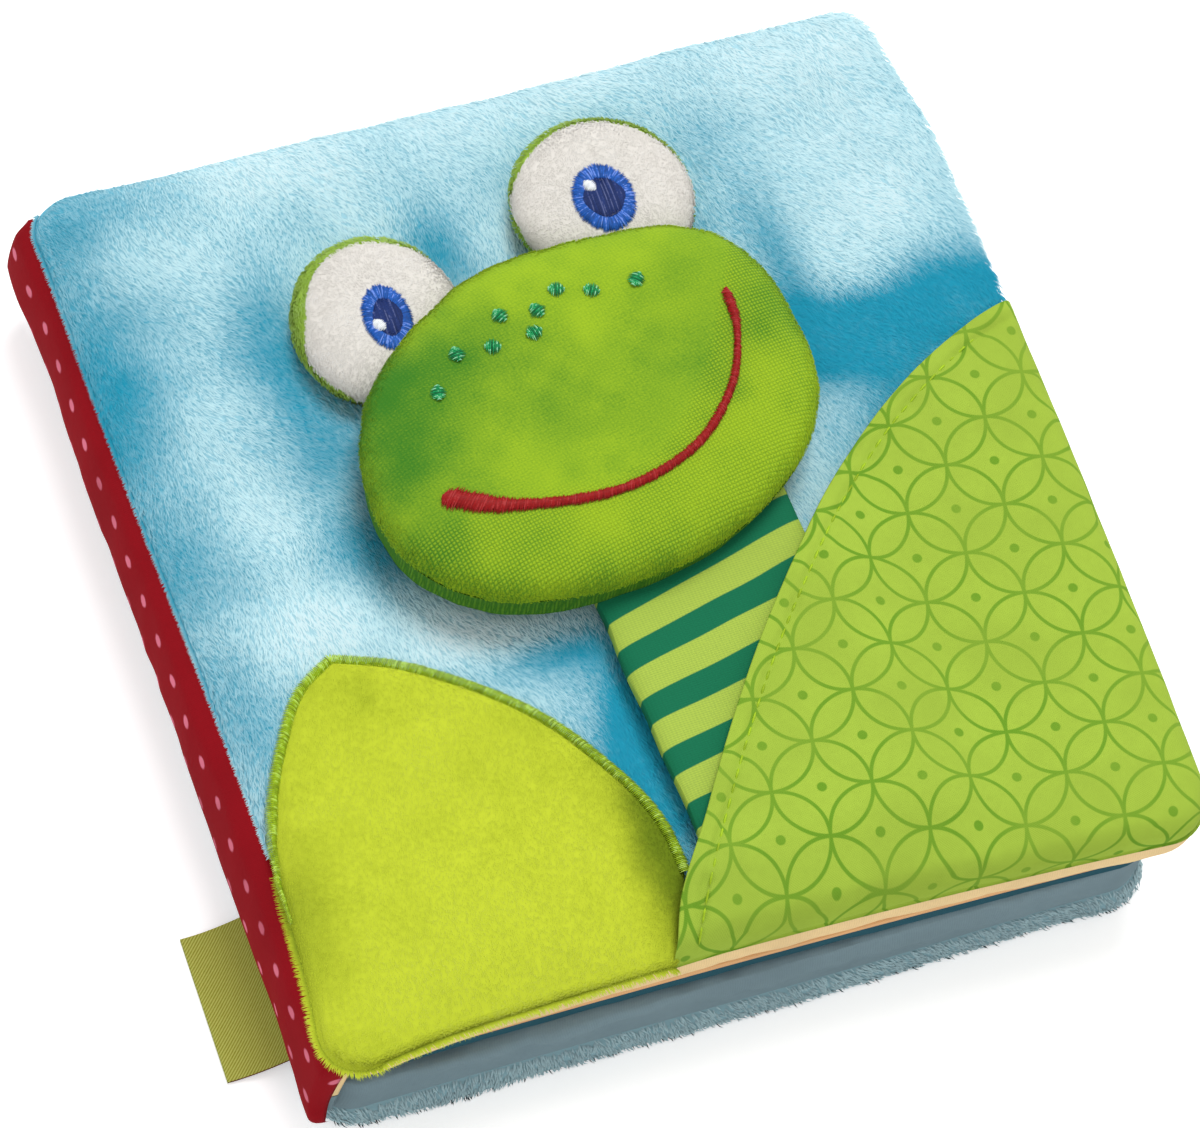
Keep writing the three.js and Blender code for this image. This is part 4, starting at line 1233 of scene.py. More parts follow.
# The patch's satin border: how high its core is, and how the stitches lie on it
BORDER_CORE = 1.35 * MM
BORDER_ARCH = 0.85 * MM
BORDER_PITCH = 0.3 * MM
BORDER_SLANT = 0.25
BORDER_WIDTHS = (0.5, 1.2, *[2.1] * 12)
LEAF_PILE_LENGTH = 0.55 * MM
LEAF_FRINGE_LENGTH = 1.6 * MM


class MakeLeafPatch(bpy.types.Operator):
    """Lime plush leaf with its satin-stitched border"""
    bl_idname = "cloth_book.leaf_patch"
    bl_label = "Leaf patch"

    def execute(self, context):
        rows, columns = 110, 70
        left, right = leaf_edges(rows)
        share = np.linspace(0, 1, columns)[None, :, None]
        share = 0.5 - 0.5 * np.cos(np.pi * share) * (0.6 + 0.4 * np.abs(np.cos(np.pi * share)))
        flat = left[:, None, :] * (1 - share) + right[:, None, :] * share
        x, y = flat[..., 0], flat[..., 1]
        apart = 0.7 * MM * smooth(-46 * MM, -66 * MM, y)
        points = np.stack([*front_page.rolled(x, y, PLUSH_ROLL, apart), leaf_height(x, y)], axis=2)
        faces = quads(rows, columns)
        flat_points = points.reshape(-1, 3)
        if normals_of(flat_points, faces)[:, 2].mean() < 0:
            faces = faces[:, ::-1]
        lime = paint("lime")
        # A deep, saturated lime for where the patch is drawn deep and for its roots: partly nap brushing,
        # partly painted shade.
        lime_deep_and_shaded = scaled(toward(lime, (0.1, 0.4, 0), 0.4), 0.4)
        ground = pile_ground("lime_ground", lime_deep_and_shaded, scaled(lime, 0.95))
        shade = lime_light(*on_page(flat_points))
        patch = new_object("leaf_patch_plush", flat_points, faces, ground, arc_places(points), shade)
        inset = front_page.inset(x, y).ravel()
        lit = lit_edge(normals_of(flat_points, faces), inset, 1.6)
        patch.data.normals_split_custom_set_from_vertices(lit.astype(np.float32))
        dress(patch, "front_cover", ["leaf_patch"])
        rng = np.random.default_rng(53)
        place, normal = scattered(flat_points, faces, LEAF_TUFTS, rng)
        normal = lit_edge(normal, front_page.inset(*on_page(place)), 1.6)
        comb = comb_field(place, 54, 0.3, -1.9)
        finish = pile_finish("lime_pile", lime, lime_deep_and_shaded, 0.05, 50, 0.16)
        grow_pile("leaf_pile", place, normal, comb, LEAF_PILE_LENGTH, 0.17 * MM, 0.65, finish, "front_cover",
                  55, lime_light(*on_page(place)), 0.3)
        place, out, comb = fringe(np.vstack([points[int(rows * 0.5):, 0], points[-1, 1:]]), 0.07 * MM, 2.5)
        grow_pile("leaf_fringe", place, out, comb, LEAF_FRINGE_LENGTH, 0.22 * MM, 0.35, finish,
                  "front_cover", 57, lime_light(*on_page(place)))
        self.border()
        return {"FINISHED"}

    def border(self):
        """Slanting satin stitches along both curved edges, raised over a core."""
        rng = np.random.default_rng(56)
        left = curve_through([LEAF_APEX, *LEAF_LEFT], 60)
        right = curve_through([LEAF_APEX, *LEAF_RIGHT], 90)
        tail = np.array([[-74.3, -56], [-74.2, -49]]) * MM
        line = np.vstack([tail, left[::-1], right[1:]])
        starts, ends = band_strokes(line, np.array(BORDER_WIDTHS) * MM, BORDER_PITCH, BORDER_SLANT, rng)

        def over(x, y):
            return front_height(x, y) + BORDER_CORE

        finish = thread_finish("leaf_satin", paint("leaf_thread"), 0.4)
        sewn("leaf_border_satin", starts, ends, over, sizes().thread, BORDER_ARCH, finish, "front_cover",
             ["leaf_patch_border"])


def body_axes(x, y):
    """Across and along the frog's body, from its centre, at a place of the page frame."""
    return turned(x - BODY_CENTRE[0] * MM, y - BODY_CENTRE[1] * MM, -BODY_LEAN)


# How high the pocket's cloth and its lining lie over the cover
POCKET_LIFT = 2.3 * MM
INNER_LIFT = 1.1 * MM
# The hem that turns in at the pocket's mouth: how far in and how far down each of its rows is
POCKET_HEM = ((6 * MM, 1.0 * MM), (1.5 * MM, 1.05 * MM), (0.3 * MM, 0.95 * MM), (-0.15 * MM, 0.6 * MM),
              (-0.15 * MM, 0.3 * MM))
TOPSTITCH_INSET = 3.0 * MM
TOPSTITCH_PITCH = 2.6 * MM


def pocket_height(x, y, lift):
    """Height of the pocket's cloth: over the cover, tented by the frog's body."""
    across, along = body_axes(x, y)
    half = BODY_WIDTH / 2 * MM
    wide = 1 - smooth(half - 1 * MM, half + 15 * MM, np.abs(across))
    long = smooth(-(BODY_LOWER_END + 14) * MM, -(BODY_LOWER_END - 4) * MM, along)
    hump = HUMP * wide * long
    inset = front_page.inset(x, y)
    base = front_page.upper(x, y) + lift * smooth(-0.5 * MM, 3 * MM, inset)
    base = base - 1.2 * MM * smooth(0.9 * MM, -0.4 * MM, inset)
    soft = 0.5 * MM * dents(x, y, 17, 61) + 0.25 * MM * dents(x, y, 8, 62)
    near_seam = np.exp(-np.maximum(inset, 0) / (7 * MM))
    pucker = 0.6 * MM * dents(x, y, 5.5, 63) * near_seam * smooth(0, 2 * MM, inset)
    hem = mouth_distance(x, y) / MM
    sewn_down = 0.25 * MM * np.exp(-((hem - 1.4) / 1.0) ** 2) - 0.35 * MM * np.exp(-((hem - 3) / 0.7) ** 2)
    gathers = 0.3 * MM * dents(x, y, 2.6, 64) * np.exp(-((hem - 3.4) / 2) ** 2)
    folds = soft * smooth(1 * MM, 12 * MM, inset) + pucker
    return base + hump + folds + (sewn_down + gathers) * smooth(0, 4 * MM, inset)


def mouth_distance(x, y):
    """How far a place is from the pocket's mouth."""
    mouth = curve_through(POCKET_MOUTH, 120)
    far = [np.hypot(x - across, y - along) for across, along in mouth]
    return np.min(far, axis=0)


def pocket_sheet(lift, mouth_rows):
    """The pocket's cloth from its mouth to the seams, with rows of its own before the mouth."""
    columns, rows = 190, 110
    mouth = curve_through(POCKET_MOUTH, columns)
    a, b = (half + 0.45 * MM for half in front_page.half)
    turn = np.linspace(-np.pi / 2, 0, 14)
    corner = np.stack([a - CORNER + CORNER * np.cos(turn), -b + CORNER + CORNER * np.sin(turn)], axis=1)
    bottom, top = mouth[0], mouth[-1]
    seam = np.vstack([[bottom[0], -b], corner, [a, top[1]]])
    seam = respaced(seam, columns)
    mouth = np.stack([np.minimum(mouth[:, 0], a), np.maximum(mouth[:, 1], -b)], axis=1)
    share = (1 - np.cos(np.pi * np.linspace(0, 1, rows))) / 2
    flat = mouth[None] * (1 - share[:, None, None]) + seam[None] * share[:, None, None]
    x, y = flat[..., 0], flat[..., 1]
    z = pocket_height(x, y, lift)
    points = np.stack([*front_page.rolled(x, y, PLUSH_ROLL, lift / 4), z], axis=2)
    inward = flat[-1] - flat[0]
    gap = np.maximum(np.linalg.norm(inward, axis=1), 1e-9)[:, None]
    before = []
    for along, down in mouth_rows:
        place = mouth + inward / gap * np.minimum(along, gap / 2)
        down = down * smooth(-0.4 * MM, 5 * MM, front_page.inset(*place.T))
        height = pocket_height(*place.T, lift) - down
        before.append(np.stack([*front_page.rolled(*place.T, PLUSH_ROLL, lift / 4), height], axis=1))
    if before:
        points = np.concatenate([np.array(before), points])
    return points


class MakePocket(bpy.types.Operator):
    """Printed cotton pocket, its lining and its topstitched mouth"""
    bl_idname = "cloth_book.pocket"
    bl_label = "Pocket"

    def execute(self, context):
        printed = cotton("printed_green_cotton", paint("print_ground"), interlocking_rings)
        self.cloth("pocket_cloth", POCKET_LIFT, POCKET_HEM, printed, "printed_green_cotton", "pocket_panel")
        plain = cotton("plain_green_cotton", paint("plain_green"))
        self.cloth("pocket_inner", INNER_LIFT, (), plain, "plain_green_cotton", "pocket_lining")
        self.topstitch()
        return {"FINISHED"}

    def cloth(self, name, lift, hem, finish, slot, node):
        points = pocket_sheet(lift, hem)
        faces = quads(*points.shape[:2])
        flat = points.reshape(-1, 3)
        if normals_of(flat, faces)[:, 2].mean() < 0:
            faces = faces[:, ::-1]
        made = new_object(name, flat, faces, finish, arc_cloth(points))
        dress(made, "front_cover", [node])

    def topstitch(self):
        line = curve_through(POCKET_MOUTH, 400)
        way = unit(np.gradient(line, axis=0))
        inside = line + np.stack([way[:, 1], -way[:, 0]], axis=1) * TOPSTITCH_INSET
        right, bottom = front_page.half[0] - 1.5 * MM, 1.5 * MM - front_page.half[1]
        inside = inside[(inside[:, 0] < right) & (inside[:, 1] > bottom)]
        count = int(length_along(inside) / TOPSTITCH_PITCH)
        fine = respaced(inside, count * 10 + 1)
        starts, ends = fine[0:count * 10:10], fine[8:count * 10:10]

        def over(x, y):
            return pocket_height(x, y, POCKET_LIFT) + 0.02 * MM

        finish = thread_finish("pocket_thread", paint("leaf_thread"))
        sewn("pocket_topstitch", starts, ends, over, 0.42 * MM, 0.15 * MM, finish, "front_cover")


def arc_cloth(points):
    """Places on the flat cloth for a sheet that isn't a rectangle: its x and y, with its walls unrolled."""
    x, y, z = points[..., 0], points[..., 1], points[..., 2]
    drop = front_page.top - z
    inset_x = front_page.half[0] - (x - FRONT_X)
    inset_y = y + front_page.half[1]
    u = x + np.where(inset_x < 4 * MM, np.maximum(drop, 0), 0) * smooth(4 * MM, 0, inset_x)
    v = y - np.where(inset_y < 4 * MM, np.maximum(drop, 0), 0) * smooth(4 * MM, 0, inset_y)
    return np.stack([u, v], axis=2).reshape(-1, 2)


# Spine and tag

def spine_face(y, share):
    """Across and up of the spine's outer face, at a share of the way from its foot to its head."""
    low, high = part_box("spine_panel")
    foot, head = SPINE_FOOT * MM, SPINE_HEAD * MM
    arch = 4 * share * (1 - share)
    end = np.abs(y) / high.y
    fullness = 0.8 - 0.42 * np.exp(-((y - low.y) / (9 * MM)) ** 2)
    bulge = (foot - low.x - 1.3 * MM) * (1 - 0.22 * end ** 8)
    depth = 0.9 * MM * smooth(1, 0.8, share) + bulge * arch ** fullness
    wide, narrow = lumps(y / (9 * MM), share * 1.2, 71), lumps(y / (4 * MM), share * 3, 72)
    crease = 0.28 * MM * wide + 0.18 * MM * narrow
    further = 1.8 * MM * leaning(y) + 1.4 * MM * np.exp(-((high.y - y) / (12 * MM)) ** 2)
    across = foot + (head - foot) * share - depth - crease * arch ** 0.5 - further * smooth(0, 0.35, share)
    return across, low.z + (high.z - low.z) * share


class MakeSpine(bpy.types.Operator):
    """Dotted cotton spine with its lining strips and its turned-in lower end"""
    bl_idname = "cloth_book.spine"
    bl_label = "Spine"

    def execute(self, context):
        low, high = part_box("spine_panel")
        rows, columns = 150, 34
        y = np.concatenate([np.full(TUCK_ROWS, low.y), np.linspace(low.y, high.y, rows)])[:, None]
        tuck = np.linspace(math.pi / 2, 0, TUCK_ROWS, endpoint=False)
        tuck = np.concatenate([tuck, np.zeros(rows)])[:, None]
        rows += TUCK_ROWS
        share = np.linspace(0, 1, columns)[None, :]
        x, z = spine_face(y, share)
        x = x + (TUCK_FOOT + (TUCK_HEAD - TUCK_FOOT) * share) * (1 - np.cos(tuck))
        puffed = 0.8 * MM * np.exp(-((y - low.y) / (4 * MM)) ** 2) * np.exp(-((share - 0.12) / 0.16) ** 2)
        points = np.stack([x, y - puffed - TUCK_DEPTH * np.sin(tuck), z + 0 * y], axis=2)
        cloth = arc_places(points)
        outer = points.reshape(-1, 3)
        inner = outer.copy()
        inner[:, 0] += SPINE_THICKNESS
        face = quads(rows, columns)
        rim = self.rim(rows, columns)
        faces = np.vstack([face, face[:, ::-1] + len(outer), rim])
        both = np.vstack([outer, inner])
        if normals_of(outer, face)[:, 0].mean() > 0:
            faces = faces[:, ::-1]
        finish = cotton("red_dotted_cotton", paint("red"), spine_dots)
        made = new_object("spine_cloth", both, faces, finish, np.vstack([cloth, cloth]))
        dress(made, "spine", ["spine_panel", "spine_wadding"])
        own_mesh(made)
        self.lining("spine_lining_back", "pale_blue", "pale_blue_cotton")
        self.lining("spine_lining_front", "peach", "peach_cotton")
        return {"FINISHED"}

    def rim(self, rows, columns):
        """Faces that close the gap between the outer and the inner face all round."""
        around = np.concatenate([np.arange(columns - 1), np.arange(rows - 1) * columns + columns - 1,
                                 rows * columns - 1 - np.arange(columns - 1),
                                 (rows - 1 - np.arange(rows - 1)) * columns])
        beside = np.roll(around, -1)
        lower = rows * columns
        return np.stack([around, around + lower, beside + lower, beside], axis=1)

    def lining(self, node, colour, slot):
        low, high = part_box(node)
        rows, columns = 110, 14
        y = low.y + (high.y - low.y) * np.linspace(0, 1, rows)[:, None] ** 1.6
        y = np.vstack([np.full((HEM_ROWS, 1), low.y), y])
        hem = np.concatenate([np.linspace(-0.1, 1, HEM_ROWS, endpoint=False), np.ones(rows)])[:, None]
        rows += HEM_ROWS
        share = np.linspace(0, 1, columns)[None, :]
        ripple = 0.2 * MM * lumps(y / (6 * MM), share * 2, 75)
        x = high.x - 0.3 * MM + ripple - (high.x - low.x - 0.6 * MM) * (1 - share)
        z = low.z + (high.z - low.z) * share + 0 * y
        panel_low, panel_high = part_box("spine_panel")
        height = (z - panel_low.z) / (panel_high.z - panel_low.z)
        outer, _ = spine_face(y, height)
        hemmed = smooth(3.4 * MM, 0, y - panel_low.y)
        folded_in = outer + TUCK_FOOT + (TUCK_HEAD - TUCK_FOOT) * height + hem * HEM_WIDTH
        x = x + (folded_in - x) * smooth(1.2 * MM, 0, y - panel_low.y)
        points = np.stack([x, y + 0 * x - HEM_DEPTH * hemmed, z], axis=2)
        face = quads(rows, columns)
        finish = cotton(node + "_cotton", paint(colour))
        made = new_object(node + "_cloth", points.reshape(-1, 3), face, finish, arc_places(points))
        dress(made, "spine", [node])


class MakeTag(bpy.types.Operator):
    """Folded woven tag in the spine's lower seam, in plain twill"""
    bl_idname = "cloth_book.tag"
    bl_label = "Woven tag"

    def execute(self, context):
        low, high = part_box("woven_tag")
        rows, columns = 40, 46
        thick = 0.5 * MM
        reach = high.x - low.x
        t = np.linspace(0, 1, 20)
        droop = high.z - 0.1 * MM - (high.z - low.z - 0.7 * MM) * np.sin(t * np.pi / 2) ** 0.9
        upper = np.stack([high.x - reach * t, droop], axis=1)
        lower = np.stack([high.x - reach * t[::-1], droop[::-1] - thick], axis=1)
        fold = np.array([[low.x - 0.1 * MM, droop[-1] - thick * 0.5]])
        line = respaced(np.vstack([upper, fold, lower]), columns)
        y = np.linspace(low.y, high.y, rows)
        x = np.repeat(line[None, :, 0], rows, axis=0)
        z = np.repeat(line[None, :, 1], rows, axis=0)
        width = np.repeat(y[:, None], columns, axis=1)
        curl = 0.25 * MM * dents(width, x, 9, 81)
        points = np.stack([x, width, np.maximum(z + curl, 0.1 * MM)], axis=2)
        made = new_object("tag_cloth", points.reshape(-1, 3), quads(rows, columns),
                          twill_finish("tag_twill"), arc_places(points))
        dress(made, "back_cover", ["woven_tag"])
        return {"FINISHED"}


# Frog

class Stuffed:
    """A stuffed shape: an outline in the page frame, the height of its seam and how far each face rises."""

    def __init__(self, outline, centre, seam, rise, drop, profile):
        self.outline = outline
        self.centre = np.array(centre) * MM
        self.seam, self.rise, self.drop, self.profile = seam, rise, drop, profile

    def inset(self, x, y):
        """How far in from the outline a place is, along the line to the centre."""
        away = self.outline - self.centre
        angle = np.arctan2(away[:, 1], away[:, 0])
        order = np.argsort(angle)
        here = np.arctan2(y - self.centre[1], x - self.centre[0])
        reach = np.interp(here, angle[order], np.linalg.norm(away, axis=1)[order], period=2 * np.pi)
        return reach - np.hypot(x - self.centre[0], y - self.centre[1])

    def over(self, x, y):
        return self.seam + self.rise * dome(self.inset(x, y), *self.profile)

    def half(self, upper, moves, rings=34):
        """One face as points, faces and the triangles at its middle, from the seam inward."""
        width = self.profile[0]
        inset = width * (np.linspace(0, 1, rings) ** 2)
        away = self.outline - self.centre
        reach = np.linalg.norm(away, axis=1)
        share = 1 - inset[:, None] / reach[None, :]
        inner = np.linspace(1, 0.02, 14)[1:, None] * share[-1][None, :]
        share = np.vstack([share, inner])
        flat = self.centre + away[None] * share[..., None]
        depth = reach[None, :] * (1 - share)
        height = dome(depth, *self.profile) * (self.rise if upper else -self.drop)
        points = np.concatenate([flat, (self.seam + height)[..., None]], axis=2)
        rows, columns = points.shape[:2]
        faces = quads(rows, columns, closed=True)
        flat_points = points.reshape(-1, 3)
        normal = normals_of(flat_points, faces)
        if normal[:, 2].mean() * (1 if upper else -1) < 0:
            faces, normal = faces[:, ::-1], -normal
        amount = moves(flat_points[:, 0], flat_points[:, 1], flat_points[:, 2], depth.ravel())
        moved = flat_points + normal * amount[:, None]
        last = len(moved)
        ring = np.arange(last - columns, last)
        cap = np.stack([ring, np.roll(ring, -1), np.full(columns, last)], axis=1)
        return np.vstack([moved, moved[ring].mean(axis=0)]), faces, cap


def stuffed_piece(name, parts, finish, body, nodes, shade=None):
    """A half of a stuffed shape as a piece."""
    points, faces, cap = parts
    placed = points + np.array([FRONT_X, 0, 0])
    made = new_object(name, placed, faces, finish, points[:, 1::-1], shade, cap)
    return dress(made, body, nodes)


def head_shape():
    _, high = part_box("head_front")
    low, seam_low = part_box("head_back")
    seam = seam_low.z
    outline = curve_through(HEAD_OUTLINE, 200, closed=True)
    return Stuffed(outline, HEAD_CENTRE, seam, high.z - seam - HEAD_FLATTENED, seam - low.z, STUFFED)


def head_moves(x, y, z, depth):
    """Soft dents of the stuffing, and small gathers at the head's seam."""
    soft = 0.5 * MM * dents(x, y, 16, 91)
    gather = 0.3 * MM * dents(x, y, 3.4, 92) * np.exp(-depth / (3 * MM))
    return soft * smooth(2 * MM, 12 * MM, depth) + gather


class MakeHead(bpy.types.Operator):
    """Stuffed velour head with its embroidered smile and freckles"""
    bl_idname = "cloth_book.head"
    bl_label = "Head"

    def execute(self, context):
        head = head_shape()
        pale, deep = paint("velour"), paint("velour_back")
        velour = velour_finish("frog_velour", deep, pale)
        dark = velour_finish("dark_velour", scaled(deep, 0.7), toward(deep, pale, 0.25))
        front = head.half(True, head_moves)
        light = head_light(*front[0].T[:2])
        stuffed_piece("head_velour", front, velour, "head", ["head_front", "head_stuffing"],
                      light)

        def gathers(x, y, z, depth):
            folds = 0.25 * MM * dents(x, y, 3.4, 93)
            return folds * np.exp(-depth / (3 * MM)) * smooth(0, MM, depth)

        back = head.half(False, bulged(gathers, head.centre, np.array([0.9, 1.1]) * MM))
        stuffed_piece("head_back_velour", back, dark, "head", ["head_back"],
                      np.full(len(back[0]), 0.4))
        self.nap(head, front)
        self.smile(head)
        self.freckles(head)
        return {"FINISHED"}

    def nap(self, head, front):
        """Short pile that softens the head's outline."""
        points, faces, _ = front
        rng = np.random.default_rng(94)
        place, normal = scattered(points, faces, SHORT_TUFTS, rng)
        rim = head.inset(place[:, 0], place[:, 1]) < 2.5 * MM * rng.random(len(place))
        place, normal = place[rim], normal[rim]
        place[:, 0] += FRONT_X
        comb = comb_field(place, 95, 0.6, -1.4)
        colour = paint("velour")
        finish = pile_finish("frog_nap", colour, paint("velour_back"), 0.0, 70)
        grow_pile("head_nap", place, normal, comb, sizes().nap, 0.2 * MM, 0.45, finish, "head",
                  96, head_light(*on_page(place)))

    def smile(self, head):
        rng = np.random.default_rng(97)
        line = curve_through(MOUTH, 300)
        widths = np.array(MOUTH_WIDTHS) * MM
        starts, ends = band_strokes(line, widths, SMILE_PITCH, SMILE_SLANT, rng, SMILE_RAGGED,
                                    SMILE_ROUNDING)
        add_thread("smile_satin", starts, ends, head_top(head), "red_thread",
                   ["mouth_embroidery"], 0.6 * MM)

    def freckles(self, head):
        rng = np.random.default_rng(98)
        for number, centre in enumerate(FRECKLES, 1):
            starts, ends = dot_strokes(centre, FRECKLE_WIDTH, FRECKLE_WIDTH * 0.9, rng.uniform(0, math.pi),
                                       FRECKLE_PITCH, rng)
            add_thread(f"freckle_satin_{number}", starts, ends, head_top(head), "emerald",
                       [f"freckle_{number}"], 0.4 * MM)


# Paleness of the head's velour: random lumps and nap brushing, with painted shade toward its sides and
# painted light on its chin.
def head_light(x, y):
    wide, narrow = dents(x, y, 9, 99), dents(x, y, 3.5, 100)
    return brushed_and_shaded(0.6 + 0.13 * wide + 0.07 * narrow, x, y, BRUSHED_AND_SHADED_HEAD)


def head_top(head):
    """Height of the head's face where thread lies on it."""
    def over(x, y):
        depth = head.inset(x, y)
        return head.over(x, y) + head_moves(x, y, None, depth) + 0.25 * MM
    return over


def dot_strokes(centre, width, height, angle, pitch, rng):
    """Parallel stitches that fill an oval, in the page frame."""
    count = max(int(height * MM / pitch), 3)
    across = np.linspace(-1, 1, count) * 0.94
    half = np.sqrt(1 - across ** 2) * width / 2 * MM * rng.uniform(0.85, 1.1, count)
    side = across * height / 2 * MM
    starts = np.stack(turned(-half, side, angle), axis=1) + np.array(centre) * MM
    ends = np.stack(turned(half, side, angle), axis=1) + np.array(centre) * MM
    return starts, ends


def bulged(moves, middle, slip):
    """The moves of a lower half that also bellies out under its seam, on the side away from slip."""
    def both(x, y, z, depth):
        way = unit(np.stack([x, y], axis=1) - middle)
        belly = np.maximum(-way @ slip, 0)
        belly = belly * smooth(0, 1.2 * MM, depth) * np.exp(-((depth / (5 * MM)) ** 2))
        return moves(x, y, z, depth) + belly
    return both


class MakeEyes(bpy.types.Operator):
    """Two plush eyes with embroidered pupils"""
    bl_idname = "cloth_book.eyes"
    bl_label = "Eyes"

    def execute(self, context):
        head = head_shape()
        for seed, (side, eye) in enumerate(EYES.items(), 110):
            self.eye(side, head, seed * 10, **eye)
        return {"FINISHED"}

    def eye(self, side, head, seed, centre, radius, tall, pupil, size, glint):
        _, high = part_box(side + "_eye_front")
        low, seam_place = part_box(side + "_eye_back")
        seam = seam_place.z
        turn = np.linspace(0, 2 * np.pi, 96, endpoint=False)
        outline = (np.array(centre) + radius * np.stack([np.cos(turn), tall * np.sin(turn)], axis=1)) * MM

        def moves(x, y, z, depth):
            return 0.25 * MM * dents(x, y, 4, seed) * np.exp(-depth / (3 * MM))

        ball = Stuffed(outline, centre, seam, high.z - seam - 0.4 * MM, seam - low.z - 0.2 * MM, BUTTON)
        belly = bulged(moves, np.array(centre) * MM, np.array(EYE_RIM_SIDE[side]) * MM)
        front, back = ball.half(True, moves, 20), ball.half(False, belly, 20)
        white, green = paint("white_plush"), paint("leaf_plush")
        whiteness = np.where(self.rolled_over(side, ball, front[0]), 0.0, 1.0)
        stuffed_piece(side + "_eye_plush", front, pile_ground(side + "_white_ground", green, white), "head",
                      [side + "_eye_front", side + "_eye_stuffing"], whiteness)
        stuffed_piece(side + "_eye_green", back, pile_ground(side + "_green_ground", green, green), "head",
                      [side + "_eye_back"])
        # Roots drawn darker than the tips: painted shade among the fibres.
        white_pile = shared_pile("white_pile", white, scaled(white, 0.78), 0.5)
        green_pile = shared_pile("green_pile", green, scaled(green, 0.6), 0.1)
        coats = ((side + "_eye_pile", front, white_pile, "white_plush", 1),
                 (side + "_eye_green_pile", back, green_pile, "leaf_green_plush", 2))
        for name, part, finish, slot, shift in coats:
            rng = np.random.default_rng(seed + shift)
            points, faces, _ = part
            place, normal = scattered(points, faces, SHORT_TUFTS, rng)
            clear = head.inset(place[:, 0], place[:, 1]) < 2 * MM
            if shift == 1:
                rolled = self.rolled_over(side, ball, place) & clear
                self.pile(side + "_eye_rim_pile", place[rolled], normal[rolled], sizes().short_pile,
                          green_pile, "leaf_green_plush", seed + 5, head)
                clear &= ~inside_oval(place, pupil, size) & ~rolled
            length = 0.65 * MM if shift == 1 else sizes().short_pile
            self.pile(name, place[clear], normal[clear], length, finish, slot, seed + 3, head)
        self.pupil(side, ball, seed, pupil, size, glint)

    def rolled_over(self, side, ball, place):
        """True where the green back shows on the front's rim."""
        way_x, way_y, width = EYE_RIM_ROLL[side]
        away = place[:, :2] - ball.centre
        facing = unit(away) @ (way_x, way_y)
        return ball.inset(place[:, 0], place[:, 1]) < width * MM * smooth(0.1, 0.75, facing)

    def pile(self, name, place, normal, length, finish, slot, seed, head):
        """Short pile, drawn deeper where it goes down beside the head: painted shade."""
        light = 0.62 - 0.35 * smooth(-5 * MM, 0, head.inset(place[:, 0], place[:, 1]))
        light = light + 0.12 * lumps(place[:, 0] / (2.4 * MM), place[:, 1] / (2.4 * MM), seed)
        place = place + np.array([FRONT_X, 0, 0])
        comb = comb_field(place, seed, 2.6, -1.5)
        grow_pile(name, place, normal, comb, length, 0.24 * MM, 0.55, finish, "head", seed + 1, light)

    def pupil(self, side, ball, seed, pupil, size, glint):
        """Ring of radial stitches round a core of upright ones, and a glint."""
        rng = np.random.default_rng(seed + 5)
        core = [s - 2 * PUPIL_RING for s in size]

        def over(x, y):
            return ball.over(x, y) + 0.3 * MM

        turn = np.linspace(0, 2 * np.pi, int(np.pi * sum(size) / 2 / 0.2), endpoint=False)
        way = np.stack([np.cos(turn), np.sin(turn)], axis=1)
        jitter = rng.uniform(0.94, 1.04, (len(turn), 1))
        outer = np.array(pupil) * MM + way * np.array(size) / 2 * MM * jitter
        inner = np.array(pupil) * MM + way * np.array(core) / 2 * MM * 0.8
        add_thread(side + "_iris_satin", inner, outer, over, "blue", [side + "_iris"],
                   0.3 * MM)
        starts, ends = dot_strokes(pupil, core[1] + 0.6, core[0] + 0.6, math.pi / 2, 0.2 * MM, rng)
        add_thread(side + "_pupil_satin", starts, ends, over, "dark_blue",
                   [side + "_pupil"], 0.35 * MM)
        starts, ends = dot_strokes(glint, GLINT_SIZE, GLINT_SIZE, 0.6, 0.24 * MM, rng)
        add_thread(side + "_glint_satin", starts, ends, lambda x, y: over(x, y) + 0.3 * MM, "white_thread",
                   [side + "_glint"], 0.3 * MM)


def inside_oval(place, centre, size):
    dx = (place[:, 0] / MM - centre[0]) / (size[0] / 2 + 0.1)
    dy = (place[:, 1] / MM - centre[1]) / (size[1] / 2 + 0.1)
    return dx * dx + dy * dy < 1


def add_thread(name, starts, ends, surface, colour, nodes, arch):
    """An embroidered patch that rides on the head."""
    satin = colour + "_satin"
    finish = bpy.data.materials.get(satin) or thread_finish(satin, paint(colour), PAINTED_GLINTS[colour])
    sewn(name, starts, ends, surface, sizes().thread, arch, finish, "head", nodes)


